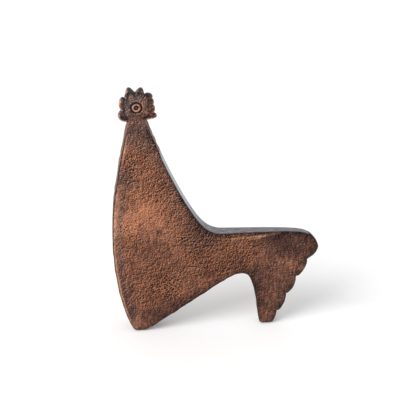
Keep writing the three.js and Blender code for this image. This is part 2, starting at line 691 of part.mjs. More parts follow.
// A pad covers the flat of its foot, short of the rounded edges by a margin.
function padFor(name, x, footLength) {
  const width = 2 * (halfThickness(x) - EDGE_RADIUS) - PAD_MARGIN;
  return { name, x, length: footLength - PAD_MARGIN, width };
}

const PADS = [
  padFor("breast_pad", breastFootMiddle, BREAST_FOOT_LENGTH),
  padFor("tail_pad", tailFootMiddle, TAIL_FOOT_LENGTH),
];

// Finishes, as plain colours

const patina = new THREE.MeshStandardMaterial({ color: 0x83573f, roughness: 0.5, metalness: 0.8 });
const darkPatina = new THREE.MeshStandardMaterial({ color: 0x64503f, roughness: 0.45, metalness: 0.8 });
const steel = new THREE.MeshStandardMaterial({ color: 0x9a9c9e, roughness: 0.35, metalness: 1 });
const rubber = new THREE.MeshStandardMaterial({ color: 0x2b2623, roughness: 0.85, metalness: 0 });

// Assembly

const hen = new THREE.Group();

function put(name, geometry, material) {
  const mesh = new THREE.Mesh(geometry, material);
  mesh.name = name;
  hen.add(mesh);
}

const frontShell = frontShellGeometry();
put("front_shell", frontShell, patina);
put("back_shell", mirrored(frontShell), patina);
put("head", headGeometry(), darkPatina);

const headPinHeight = NECK_HEIGHT - HEAD_PIN_DROP;
put("head_pin", pinGeometry(HEAD_PIN_RADIUS, HEAD_PIN_LENGTH, DOWEL_CHAMFER, neckMiddle, headPinHeight), steel);
for (const dowel of DOWELS) {
  put(dowel.name, pinGeometry(DOWEL_RADIUS, DOWEL_LENGTH, DOWEL_CHAMFER, dowel.x, dowel.z), steel);
}
for (const pad of PADS) {
  put(pad.name, roundedPlate(pad.x, pad.length, pad.width, PAD_CORNER, 0, PAD_THICKNESS), rubber);
}

// The origin is on the table, under the middle of the hen's length.
const extent = new THREE.Box3().setFromObject(hen);
hen.position.x = -(extent.min.x + extent.max.x) / 2;
hen.updateMatrixWorld(true);

export default hen;
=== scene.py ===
"""Looks of a cast metal hen ornament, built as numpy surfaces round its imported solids.

Sizes are written in millimetres and turned into metres where a mesh is made. +Z is up, the breast
points to -X, the tail to +X, and the front casting faces -Y.
"""

import logging
import math
from dataclasses import dataclass
from enum import Enum

import bpy
import numpy as np
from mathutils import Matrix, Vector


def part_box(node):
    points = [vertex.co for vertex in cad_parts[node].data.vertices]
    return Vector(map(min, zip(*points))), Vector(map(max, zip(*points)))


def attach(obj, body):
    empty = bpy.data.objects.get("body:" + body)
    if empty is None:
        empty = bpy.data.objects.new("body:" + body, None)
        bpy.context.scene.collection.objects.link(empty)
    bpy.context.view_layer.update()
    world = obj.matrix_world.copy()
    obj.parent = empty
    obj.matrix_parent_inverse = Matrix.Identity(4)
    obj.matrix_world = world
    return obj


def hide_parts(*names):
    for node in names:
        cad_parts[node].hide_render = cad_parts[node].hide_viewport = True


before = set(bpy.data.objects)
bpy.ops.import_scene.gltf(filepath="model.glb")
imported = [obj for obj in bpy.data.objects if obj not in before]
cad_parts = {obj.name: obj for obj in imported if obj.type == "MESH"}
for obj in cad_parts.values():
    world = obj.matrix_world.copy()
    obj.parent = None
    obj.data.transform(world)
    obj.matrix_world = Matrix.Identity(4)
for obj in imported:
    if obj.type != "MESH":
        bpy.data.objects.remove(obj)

Array = np.ndarray

MM = 0.001
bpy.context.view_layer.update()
LOG = logging.getLogger("hen")


class Side(Enum):
    """Which face of the slab a casting makes."""

    FRONT = -1
    BACK = 1


# Curves and outlines, in millimetres


@dataclass(frozen=True)
class CurveNode:
    """A node of an outline: its place, the curve's heading in degrees, and its handles.

    A handle's length is a share of the distance to the neighbour on that side.
    """

    x: float
    z: float
    heading: float = 0.0
    before: float = 0.0
    after: float = 0.0

    def handle(self, length: float) -> tuple[float, float]:
        """The end of a handle: the node moved by a length along its heading."""
        turn = math.radians(self.heading)
        return self.x + length * math.cos(turn), self.z + length * math.sin(turn)


def bezier(controls: list[tuple[float, float]], steps: int) -> Array:
    """Points of a Bezier curve without its end: each control weighted by its Bernstein share.

    Args:
        controls: three or four control points.
        steps: how many points.

    Returns:
        Points as rows of x and z.
    """
    t = np.linspace(0.0, 1.0, steps, endpoint=False)[:, None]
    degree = len(controls) - 1
    total = np.zeros((steps, 2))
    for k, control in enumerate(controls):
        share = math.comb(degree, k) * t**k * (1 - t) ** (degree - k)
        total += share * np.array(control)
    return total


def through(nodes: list[CurveNode], steps: int) -> Array:
    """A chain of cubic curves through nodes, without the last node.

    Args:
        nodes: the nodes in order.
        steps: how many points each curve has.

    Returns:
        Points as rows of x and z.
    """
    curves = []
    for start, end in zip(nodes[:-1], nodes[1:]):
        apart = math.hypot(end.x - start.x, end.z - start.z)
        leaving, arriving = start.handle(start.after * apart), end.handle(-end.before * apart)
        curves.append(bezier([(start.x, start.z), leaving, arriving, (end.x, end.z)], steps))
    return np.vstack(curves)


def arc_lengths(points: Array) -> Array:
    """Distance along a closed outline to each of its points, and to its end."""
    edges = np.roll(points, -1, axis=0) - points
    return np.concatenate([[0.0], np.cumsum(np.hypot(edges[:, 0], edges[:, 1]))])


def at_lengths(points: Array, lengths: Array, wanted: Array) -> Array:
    """Points of a closed outline at given distances along it, by straight lines between its points.

    Args:
        points: the outline.
        lengths: its arc_lengths.
        wanted: distances, which wrap round.

    Returns:
        Points as rows of x and z.
    """
    closed = np.vstack([points, points[:1]])
    wrapped = np.mod(wanted, lengths[-1])
    return np.stack([np.interp(wrapped, lengths, closed[:, k]) for k in (0, 1)], axis=1)


def smoothstep(low: float, high: float, value: Array) -> Array:
    """0 below low, 1 above high, and a smooth S between them."""
    t = np.clip((value - low) / (high - low), 0.0, 1.0)
    return t * t * (3 - 2 * t)


def bell(distance: Array, width: float) -> Array:
    """A bell curve: 1 at distance 0, and e to the power of minus the square of distance by width."""
    return np.exp(-((distance / width) ** 2))


def degrees_off(angle: Array, middle: float) -> Array:
    """How far an angle is past a middle one, in degrees from -180 to 180."""
    return np.mod(angle - middle + 180, 360) - 180


@dataclass(frozen=True)
class CastField:
    """A smooth random field in space: values hashed from the corners of a cubic lattice.

    The value at a point is the blend of its cell's eight corners, with a fifth-degree ease.
    """

    seed: int

    def corner(self, cell: Array) -> Array:
        """A value for each lattice corner, from a multiply-and-shift hash.

        Args:
            cell: the corner's whole numbers, on the last axis.

        Returns:
            Values from 0 to 1.
        """
        prime_x, prime_y, prime_z, stir = 374761393, 668265263, 2246822519, 1274126177
        word = cell[..., 0] * prime_x + cell[..., 1] * prime_y + cell[..., 2] * prime_z
        word = (word + self.seed * stir).astype(np.uint32)
        word = (word ^ (word >> np.uint32(13))) * np.uint32(stir)
        word = word ^ (word >> np.uint32(16))
        return word.astype(float) / 2**32

    def at(self, points: Array, size: float) -> Array:
        """The field at points, with lattice cells of a size.

        Args:
            points: places in millimetres, with x, y and z on the last axis.
            size: side of a cell in millimetres.

        Returns:
            Values from 0 to 1.
        """
        scaled = points / size
        cell = np.floor(scaled).astype(np.int64)
        part = scaled - cell
        ease = part**3 * (part * (part * 6 - 15) + 10)
        total = np.zeros(points.shape[:-1])
        for corner in np.ndindex(2, 2, 2):
            weight = np.prod(np.where(corner, ease, 1 - ease), axis=-1)
            total += weight * self.corner(cell + np.array(corner))
        return total

    def wrinkles(self, points: Array, size: float) -> Array:
        """Rounded ridges between dimples: 1 less the distance of two mixed octaves from their mean."""
        mixed = 0.65 * self.at(points, size) + 0.35 * self.at(points + size, size * 0.55)
        return 1 - np.clip(np.abs(mixed - 0.5) * 4.2, 0.0, 1.0)


# Surfaces over a grid of rows and columns


@dataclass
class Skin:
    """A closed surface on a grid whose columns wrap round.

    points has rows by columns by 3, in millimetres. Rows may end in a pole or in a line that the
    columns meet from both sides: corners at the same place become one. values holds a number per
    grid point for the finish, and across and along are the UV map's distances by row and column.
    """

    name: str
    points: Array
    values: dict[str, Array]
    across: Array
    along: Array

    def normals(self) -> Array:
        """Unit normals, as the cross product of the differences along rows and along columns.

        Returns:
            Rows by columns by 3.
        """
        down = np.gradient(self.points, axis=0)
        around = np.roll(self.points, -1, axis=1) - np.roll(self.points, 1, axis=1)
        normal = np.cross(down, around)
        return normal / np.maximum(np.linalg.norm(normal, axis=2, keepdims=True), 1e-9)

    def leaving(self) -> Array:
        """Normals turned to point to the front, away from the slab's middle plane."""
        normal = self.normals()
        return normal * np.where(normal[..., 1:2] > 0, -1.0, 1.0)

    def corners(self) -> tuple[Array, Array]:
        """Numbers the corners of each quad on the grid.

        Returns:
            Four grid indexes per quad, and the same with the last column unwrapped.
        """
        rows, columns = self.points.shape[:2]
        row, column = np.meshgrid(np.arange(rows - 1), np.arange(columns), indexing="ij")
        steps = [(0, 0), (0, 1), (1, 1), (1, 0)]
        wrapped = [(row + r) * columns + (column + c) % columns for r, c in steps]
        unwrapped = [(row + r) * (columns + 1) + column + c for r, c in steps]
        return np.stack(wrapped, axis=-1).reshape(-1, 4), np.stack(unwrapped, axis=-1).reshape(-1, 4)

    def build(self) -> bpy.types.Object:
        """Makes the mesh object, in metres at the origin, with its faces pointing out.

        The volume that the faces enclose, a sum of triple products, tells which way they point.

        Returns:
            The new object, linked to the scene.
        """
        flat = self.points.reshape(-1, 3)
        keys = np.round(flat * 1e4).astype(np.int64)
        _, first, merged = np.unique(keys, axis=0, return_index=True, return_inverse=True)
        merged = merged.reshape(-1)
        wrapped, unwrapped = self.corners()
        quads = merged[wrapped]
        places = flat[first] * MM
        a, b, c, d = (places[quads[:, k]] for k in range(4))
        volume = np.sum(a * np.cross(b, c)) + np.sum(a * np.cross(c, d))
        if volume < 0:
            quads, unwrapped = quads[:, ::-1], unwrapped[:, ::-1]
        return self.to_object(places, quads, unwrapped, first)

    def to_object(self, places: Array, quads: Array, unwrapped: Array, first: Array) -> bpy.types.Object:
        """Writes corners, faces, values and the UV map into a mesh.

        Args:
            places: the merged corners in metres.
            quads: four corners of each face; where two are the same, the face is a triangle or nothing.
            unwrapped: grid index of each face corner, for the UV map.
            first: grid index of each merged corner.

        Returns:
            The new object.
        """
        kept = quads != np.roll(quads, -1, axis=1)
        kept[kept.sum(axis=1) < 3] = False
        sizes = kept.sum(axis=1)
        ends = np.cumsum(sizes[sizes > 0])[:-1]
        mesh = bpy.data.meshes.new(self.name)
        mesh.from_pydata(places, [], [face.tolist() for face in np.split(quads[kept], ends)])
        for label, grid in self.values.items():
            layer = mesh.attributes.new(label, "FLOAT", "POINT")
            layer.data.foreach_set("value", grid.reshape(-1)[first].astype(np.float32))
        row, column = np.divmod(unwrapped[kept], self.points.shape[1] + 1)
        uv = np.stack([self.along[column], self.across[row]], axis=1) * MM
        mesh.uv_layers.new(name="Skin").data.foreach_set("uv", uv.astype(np.float32).ravel())
        mesh.polygons.foreach_set("use_smooth", np.ones(len(mesh.polygons), dtype=bool))
        mesh.update()
        piece = bpy.data.objects.new(self.name, mesh)
        bpy.context.scene.collection.objects.link(piece)
        return piece


# The hen's outline and the spine inside it


@dataclass(frozen=True)
class HenOutline:
    """The body's outline, as curves through nodes, and the spine that its inner points run to.

    x is measured back from the foremost point of the breast, z from the table.
    """

    length: float = 201.9
    foot_clearance: float = 0.8
    breast_foot: tuple[float, float] = (21.0, 29.5)
    tail_foot: tuple[float, float] = (147.3, 156.5)
    feather_top: tuple[float, float] = (191.4, 69.7)
    tail_tip_height: float = 83.5
    crown: tuple[float, float] = (26.2, 226.0)
    breast_height: float = 97.0
    feather_count: int = 4
    first_feather: float = 14.5
    feather_bow: float = 1.3
    feather_steps: tuple[float, float] = (2.4, 4.4)
    feather_root: float = 0.06
    feather_swell: float = 0.74
    curve_steps: int = 60

    def upper(self) -> list[CurveNode]:
        """Nodes from the tail's tip along the back, over the neck and down to the breast foot."""
        top_x, top_z = self.feather_top
        return [
            CurveNode(top_x, top_z, 23, after=0.23),
            CurveNode(self.length, self.tail_tip_height, 90, before=0.35, after=0.27),
            CurveNode(186.0, 100.4, 166, before=0.4, after=0.13),
            CurveNode(107.0, 103.1, 180, before=0.57, after=0.34),
            CurveNode(79.8, 122.5, 122, before=0.45, after=0.34),
            CurveNode(35.0, 218.0, 112, before=0.35, after=0.34),
            CurveNode(*self.crown, 180, before=0.43, after=0.43),
            CurveNode(17.4, 218.0, -102, before=0.34, after=0.38),
            CurveNode(0.0, self.breast_height, -90, before=0.35, after=0.33),
            CurveNode(11.5, 18.0, -72, before=0.28, after=0.48),
            CurveNode(self.breast_foot[0], self.foot_clearance, 0, before=0.2),
        ]

    def lower(self) -> list[CurveNode]:
        """Nodes from the breast foot along the belly, over the arch and down to the tail foot."""
        return [
            CurveNode(self.breast_foot[1], self.foot_clearance, 0, after=0.2),
            CurveNode(37.0, 4.4, 31, before=0.6, after=0.35),
            CurveNode(112.0, 53.2, 31, before=0.26, after=0.39),
            CurveNode(126.5, 58.0, 0, before=0.33, after=0.24),
            CurveNode(144.7, 3.4, -79, before=0.32, after=0.41),
            CurveNode(self.tail_foot[0], self.foot_clearance, 0, before=0.41),
        ]

    def feathers(self) -> Array:
        """The hind edge: bowed steps, each a feather that juts out and curves back in.

        Returns:
            Points from the tail foot up to the top feather's step.
        """
        start = np.array([self.tail_foot[1], self.foot_clearance])
        top = np.array(self.feather_top)
        along = (top - start) / np.hypot(*(top - start))
        outward = np.array([along[1], -along[0]])
        middle = (start + top) / 2 - 2 * self.feather_bow * outward
        line = np.vstack([bezier([start, middle, top], 400), top])
        run = np.concatenate([[0.0], np.cumsum(np.hypot(*np.diff(line, axis=0).T))])
        stops = np.linspace(self.first_feather, run[-1], self.feather_count)
        steps = np.stack([np.interp(stops, run, line[:, k]) for k in (0, 1)], axis=1)
        corners = np.vstack([start, steps])
        pieces = []
        juts = [self.feather_steps[0]] + [self.feather_steps[1]] * (self.feather_count - 1)
        for low, high, step in zip(corners[:-1], corners[1:], juts):
            jut = outward * step
            chord = high - low
            pulls = [low + chord * self.feather_root + jut, low + chord * self.feather_swell + jut]
            pieces.append(bezier([low, *pulls, high], self.curve_steps))
        return np.vstack(pieces)

    def points(self) -> Array:
        """The whole closed outline, counterclockwise from the top feather's step.

        Returns:
            Points as rows of x and z.
        """
        feet = [(self.breast_foot[0], self.foot_clearance), (self.tail_foot[0], self.foot_clearance)]
        ends = [(self.breast_foot[1], self.foot_clearance), (self.tail_foot[1], self.foot_clearance)]
        flats = [bezier([foot, foot, end], self.curve_steps) for foot, end in zip(feet, ends)]
        upper = through(self.upper(), self.curve_steps)
        lower = through(self.lower(), self.curve_steps)
        return np.vstack([upper, flats[0], lower, flats[1], self.feathers()])

    def walk(self, columns: dict[str, int]) -> tuple[Array, Array, Array]:
        """Pairs each outline point with a point of the spine, a line that branches like a tree.

        Going round the outline, the partner walks along every branch once out and once back, so
        the lines between the pairs never cross and both sides of a branch meet on it.

        Args:
            columns: how many points each branch gets, by the branch's name.

        Returns:
            Outline points, their partners, and distances along the outline.
        """
        neck, chest, foot = (26.0, 211.0), (44.0, 84.0), (25.6, 13.0)
        haunch, leg, tail = (148.0, 79.0), (151.8, 10.0), (188.5, 86.0)
        stops = [
            ((self.length, self.tail_tip_height), tail, haunch, "tail"),
            ((149.0, 102.5), haunch, chest, "back"),
            ((75.5, 129.0), chest, neck, "neck"),
            (self.crown, neck, chest, "neck"),
            ((0.0, self.breast_height), chest, foot, "breast"),
            ((sum(self.breast_foot) / 2, self.foot_clearance), foot, chest, "breast"),
            ((66.0, 25.2), chest, haunch, "back"),
            ((129.0, 58.9), haunch, leg, "leg"),
            ((sum(self.tail_foot) / 2, self.foot_clearance), leg, haunch, "leg"),
            ((179.0, 45.0), haunch, tail, "tail"),
        ]
        outline = self.points()
        lengths = arc_lengths(outline)
        places = np.array([stop[0] for stop in stops])
        nearest = np.hypot(*(outline[None] - places[:, None]).T).argmin(axis=0)
        marks = lengths[nearest]
        marks = np.append(marks, marks[0] + lengths[-1])
        marks[1:] += np.where(np.diff(marks) < 0, lengths[-1], 0).cumsum()
        runs, partners = [], []
        for (_, start, end, branch), low, high in zip(stops, marks[:-1], marks[1:]):
            share = np.linspace(0, 1, columns[branch], endpoint=False)
            runs.append(low + share * (high - low))
            partners.append(np.array(start) + share[:, None] * (np.array(end) - np.array(start)))
        run = np.concatenate(runs)
        first_corner = len(outline) - self.feather_count * self.curve_steps
        for corner in lengths[first_corner::self.curve_steps]:
            off = np.mod(corner - run + lengths[-1] / 2, lengths[-1]) - lengths[-1] / 2
            run[np.abs(off).argmin()] += off[np.abs(off).argmin()]
        return at_lengths(outline, lengths, run), np.vstack(partners), run - run[0]


# Lines and marks on the castings


def inward_of(outline: Array, reach: int) -> Array:
    """Unit vectors that point into a closed outline, square to the line between two neighbours.

    Args:
        outline: points, counterclockwise.
        reach: how many points away the neighbours are.

    Returns:
        A vector for each point.
    """
    tangent = np.roll(outline, -reach, axis=0) - np.roll(outline, reach, axis=0)
    return np.stack([-tangent[:, 1], tangent[:, 0]], axis=1) / np.hypot(*tangent.T)[:, None]


def inset_rows(outline: Array, target: Array, inward: Array, inset: Array, least: float) -> Array:
    """Rows inset from an outline, each point on the line to its target.

    A step along a slanting line is the inset divided by the cosine of the slant.

    Args:
        outline: the outline's points.
        target: where each point's line runs to.
        inward: inward_of the outline.
        inset: how far in each row lies.
        least: the smallest cosine that is used.

    Returns:
        Rows by points by 2.
    """
    ray = target - outline
    ray = ray / np.hypot(*ray.T)[:, None]
    slant = np.clip((ray * inward).sum(axis=1), least, 1.0)
    return outline[None] + ray[None] * (inset[:, None] / slant[None])[..., None]


@dataclass(frozen=True)
class Fade:
    """A smooth S between two values: 0 at the first and before it, 1 at the second and past it."""

    zero: float
    one: float

    def at(self, value: Array) -> Array:
        """The fade at each value."""
        return smoothstep(self.zero, self.one, value)


@dataclass(frozen=True)
class Mark:
    """A soft round area on a face: its middle, back from the breast and up, its radius and strength."""

    x: float
    z: float
    radius: float
    strength: float

    def at(self, places: Array) -> Array:
        """Its strength at each place, as a bell curve of the distance."""
        away = np.hypot(places[..., 0] - self.x, places[..., 1] - self.z)
        return self.strength * bell(away, self.radius)


@dataclass(frozen=True)
class Stroke:
    """A soft straight line on a face, from start to end, with its half width and its strength."""

    start: tuple[float, float]
    end: tuple[float, float]
    width: float
    strength: float

    def at(self, places: Array) -> Array:
        """Its strength at each place, as a bell curve of the distance from the line.

        Args:
            places: x and z on the last axis.

        Returns:
            One number per place.
        """
        run = np.array(self.end) - np.array(self.start)
        offset = places - np.array(self.start)
        share = np.clip((offset @ run) / (run @ run), 0, 1)
        away = np.linalg.norm(offset - share[..., None] * run, axis=-1)
        return self.strength * bell(away, self.width)


def total(marks: tuple[Mark | Stroke, ...], places: Array) -> Array:
    """The sum of several marks at each place."""
    return sum(mark.at(places) for mark in marks)


@dataclass(frozen=True)
class CastingMarks:
    """Where a casting is rough, lighter or darker, painted with shade and highlights by its edges, or
    painted grey on its band as the sky's reflection.

    Its methods take places, x back from the breast and z up; edge, the distance in from the
    outline; and facing, the outline's outward direction beside each place. A Fade is a zone along
    x or z, apart from line_inside, which runs in from the outline.
    """

    side: Side
    rough_patches: tuple[Mark, ...] = (
        Mark(42, 57, 17, 1.0), Mark(94, 91, 20, 0.9), Mark(84, 74, 14, 0.7), Mark(16, 177, 12, 1.0),
        Mark(43, 153, 17, 0.8), Mark(60, 127, 14, 0.7), Mark(70, 99, 12, 0.6), Mark(128, 84, 14, 0.5),
        Mark(38, 190, 14, 0.6), Mark(112, 72, 12, 0.5), Mark(22, 40, 14, 0.3), Mark(15, 102, 11, 0.7),
    )
    # bright_patches: lighter areas; Mark(188, 60) and Mark(179, 47) are painted highlights on the feather
    # rims
    bright_patches: tuple[Mark, ...] = (
        Mark(17, 118, 14, 0.5), Mark(46, 124, 15, 0.35), Mark(34, 172, 9, 0.25), Mark(38, 138, 12, 0.3),
        Mark(53, 108, 12, 0.15), Mark(128, 96, 10, 0.25), Mark(89, 50, 10, 0.1), Mark(27, 140, 14, 0.4),
        Mark(64, 76, 14, 0.1), Mark(100, 84, 12, 0.15), Mark(172, 70, 10, 0.35), Mark(12, 90, 10, 0.25),
        Mark(150, 76, 10, 0.2), Mark(26, 198, 14, 0.16), Mark(188, 60, 4, 0.4), Mark(179, 47, 5, 0.4),
        Mark(52, 80, 15, 0.12),
    )
    # dark_patches: darker areas; Mark(34, 209, 6, 0.26) is a painted shadow under the head
    dark_patches: tuple[Mark, ...] = (
        Mark(91, 64, 7, 0.3), Mark(44.6, 109, 2.4, 0.5), Mark(114, 72, 9, 0.2), Mark(51, 193, 9, 0.06),
        Mark(66, 13, 22, 0.25), Mark(168, 92, 15, 0.3), Mark(186, 84, 12, 0.25), Mark(146, 61, 12, 0.2),
        Mark(80, 112, 12, 0.28), Mark(90, 82, 20, 0.16), Mark(68.9, 141, 3.2, 0.8), Mark(34, 209, 6, 0.26),
        Mark(14, 168, 9, 0.1), Mark(26, 217, 8, 0.1), Mark(92, 98, 17, 0.26), Mark(44, 44, 24, 0.16),
        Mark(60, 60, 24, 0.1),
    )
    hole_patches: tuple[Mark, ...] = (
        Mark(42, 50, 11, 1.0), Mark(55, 55, 9, 0.8), Mark(62, 42, 7, 0.6), Mark(16, 175, 11, 0.7),
        Mark(13, 112, 7, 0.6), Mark(84, 72, 7, 0.5), Mark(98, 94, 13, 0.5), Mark(56, 140, 9, 0.4),
        Mark(18, 108, 6, 0.4),
    )
    dusk_patches: tuple[Mark, ...] = (
        Mark(12, 168, 13, 0.8), Mark(88, 100, 13, 0.7), Mark(60, 98, 22, 0.15),
    )
    # back_highlights, breast_highlights and breast_sheen: painted highlights on the rounded edges, under
    # the back and along the breast
    back_highlights: tuple[Stroke, ...] = (
        Stroke((116, 97.4), (128, 98.2), 1.1, 0.65), Stroke((131, 98.0), (148, 99.0), 1.1, 0.8),
        Stroke((148, 99.4), (163, 101.2), 0.9, 0.4), Stroke((102, 98.2), (113, 97.4), 0.9, 0.35),
        Stroke((134, 96.2), (143, 96.8), 0.8, 0.45),
    )
    breast_highlights: tuple[Mark, ...] = (
        Mark(9, 188, 17, 1.3), Mark(1, 128, 24, 0.65), Mark(1, 92, 30, 0.55), Mark(6, 45, 30, 0.9),
    )
    breast_sheen: Mark = Mark(1, 130, 34, 0.5)
    # highlight_gap: where the painted highlight along the breast's edge is left out
    highlight_gap: Mark = Mark(14, 172, 12, 0.9)
    base_tone: float = 0.475
    base_pits: float = 0.2
    back_shift: float = 9.0
    breast_half_x: Fade = Fade(60, 40)
    calm_tail_x: Fade = Fade(125, 150)
    calm_foot_z: Fade = Fade(34, 16)
    bright_foot_z: Fade = Fade(30, 10)
    bright_crown_z: Fade = Fade(206, 220)
    lengthwise_x: Fade = Fade(60, 170)
    band_start_z: Fade = Fade(80, 90)
    band_neck_end_z: Fade = Fade(178, 196)
    band_tail_end_x: Fade = Fade(188, 194)
    steep_neck_z: Fade = Fade(118, 140)
    nape_z: Fade = Fade(96, 116)
    line_inside: Fade = Fade(0.3, 1.2)
    line_end_z: Fade = Fade(204, 212)
    dusky_breast_z: Fade = Fade(170, 130)
    dusky_tail_x: Fade = Fade(120, 175)
    dusky_top_z: Fade = Fade(180, 214)

    def seen(self, places: Array) -> Array:
        """Places as this face's marks see them: the back's marks are shifted, so that it differs."""
        shift = 0.0 if self.side is Side.FRONT else self.back_shift
        return places + np.array([shift, -shift])

    def pits(self, places: Array) -> Array:
        """How deep the cast texture is, from 0 to 1: in patches, and calm on the tail and the feet."""
        calm = 0.1 * self.calm_tail_x.at(places[..., 0]) + 0.2 * self.calm_foot_z.at(places[..., 1])
        return np.clip(self.base_pits - calm + total(self.rough_patches, self.seen(places)), 0, 1)

    def holes(self, places: Array) -> Array:
        """Where gas left small round pits with bright rims, from 0 to 1."""
        return np.clip(total(self.hole_patches, self.seen(places)), 0, 1)

    def tone(self, places: Array, edge: Array, facing: Array) -> Array:
        """How light the copper is: the marks, less a painted shade that dies away from the edge.

        The painted shade is weaker by the breast, which faces the lamps, and narrower beside the neck.

        Args:
            places: x and z of each grid point.
            edge: distance in from the outline.
            facing: the outline's outward direction.

        Returns:
            Values from 0 to 1.
        """
        breast = smoothstep(0.2, 0.8, -facing[..., 0]) * self.breast_half_x.at(places[..., 0])
        nape = self.beside_nape(places, facing)
        # painted shade near the edge: depth is how dark it is, less by the breast and the feet, a little
        # more beside the nape
        depth = 0.42 - 0.25 * breast - 0.12 * self.bright_foot_z.at(places[..., 1]) + 0.06 * nape
        shade = depth * np.exp(-edge / (5.0 - 2.2 * nape)) * (1 - self.bright_crown_z.at(places[..., 1]))
        seen = self.seen(places)
        # the marks: lighter and darker areas, among them painted highlights on the feather rims and a
        # painted shadow under the head
        rubbed = 0.5 * total(self.bright_patches, seen) - 0.6 * total(self.dark_patches, seen)
        tailward = 0.06 - 0.08 * self.lengthwise_x.at(places[..., 0])
        return np.clip(self.base_tone + rubbed - shade + tailward, 0, 1)

    def ground_and_sheen(self, places: Array, facing: Array) -> Array:
        """Where the band is smoothed by grinding and painted grey as the sky's reflection: where it faces
        up, along the back and up the neck, short of the head.

        Args:
            places: x and z of each grid point.
            facing: the outline's outward direction.

        Returns:
            Values from 0 to 1.
        """
        # painted reflection: the band is painted grey only where it faces up, as the sky's reflection
        upward = smoothstep(-0.1, 0.4, 0.5 * facing[..., 0] + facing[..., 1])
        short = self.band_neck_end_z.at(places[..., 1]) + 0.9 * self.band_tail_end_x.at(places[..., 0])
        return upward * (1 - np.clip(short, 0, 1)) * self.band_start_z.at(places[..., 1])

    def beside_nape(self, places: Array, facing: Array) -> Array:
        """1 on the side of the neck that its hind edge is nearest to."""
        return smoothstep(0.3, 0.8, facing[..., 0]) * self.nape_z.at(places[..., 1])

    def line(self, places: Array, edge: Array) -> Array:
        """1 on the painted shade, a dark line along the contour, which the neck's top doesn't have."""
        return (1 - self.line_inside.at(edge)) * (1 - self.line_end_z.at(places[..., 1]))

    def dusk(self, places: Array, edge: Array, facing: Array) -> Array:
        """Where a greyer film lies over the copper.

        It lies in a lane inside the breast's edge, toward the tail, on the neck's top and beside
        the nape, and in patches.

        Args:
            places: x and z of each grid point.
            edge: distance in from the outline.
            facing: the outline's outward direction.

        Returns:
            Values from 0 to 1.
        """
        breast = smoothstep(0.3, 0.9, -facing[..., 0]) * self.dusky_breast_z.at(places[..., 1])
        lane = 0.75 * bell(edge - 7.0, 4.5) * breast * self.breast_half_x.at(places[..., 0])
        tail = 0.2 * self.dusky_tail_x.at(places[..., 0])
        top = 0.95 * self.dusky_top_z.at(places[..., 1])
        nape = 0.55 * self.beside_nape(places, facing) * bell(edge, 15.0)
        return np.clip(lane + tail + top + nape + total(self.dusk_patches, self.seen(places)), 0, 1)

    def neck_band_sheen(self, places: Array, facing: Array) -> Array:
        """1 on the band up the neck, painted brighter than the level back as a stronger reflection of the
        sky.
        """
        return smoothstep(0.55, 0.9, facing[..., 0]) * self.steep_neck_z.at(places[..., 1])

    def painted_highlight(self, places: Array, edge: Array, facing: Array) -> Array:
        """Painted highlights: a sharp and a soft line along the breast's edge, and strokes by the back.

        Args:
            places: x and z of each grid point.
            edge: distance in from the outline.
            facing: the outline's outward direction.

        Returns:
            Values from 0 to 1.
        """
        breast = smoothstep(0.5, 0.9, -facing[..., 0]) * self.breast_half_x.at(places[..., 0])
        sharp = bell(edge - 2.0, 0.85) * total(self.breast_highlights, places)
        soft = bell(edge - 3.6, 2.2) * self.breast_sheen.at(places)
        kept = 1 - self.highlight_gap.at(places)
        return np.clip(breast * (sharp + soft) * kept + total(self.back_highlights, places), 0, 1)


# The two half castings


@dataclass(frozen=True)
class RimProfile:
    """The rim's rows from the joint to the face, as one number per row.

    inset is how far in a row lies and drop how far below the face; band rows have a negative drop,
    their share of the way up from the joint less one. rough is the share of the cast texture, and
    climb how far up the band a row is.
    """

    inset: Array
    drop: Array
    rough: Array
    climb: Array


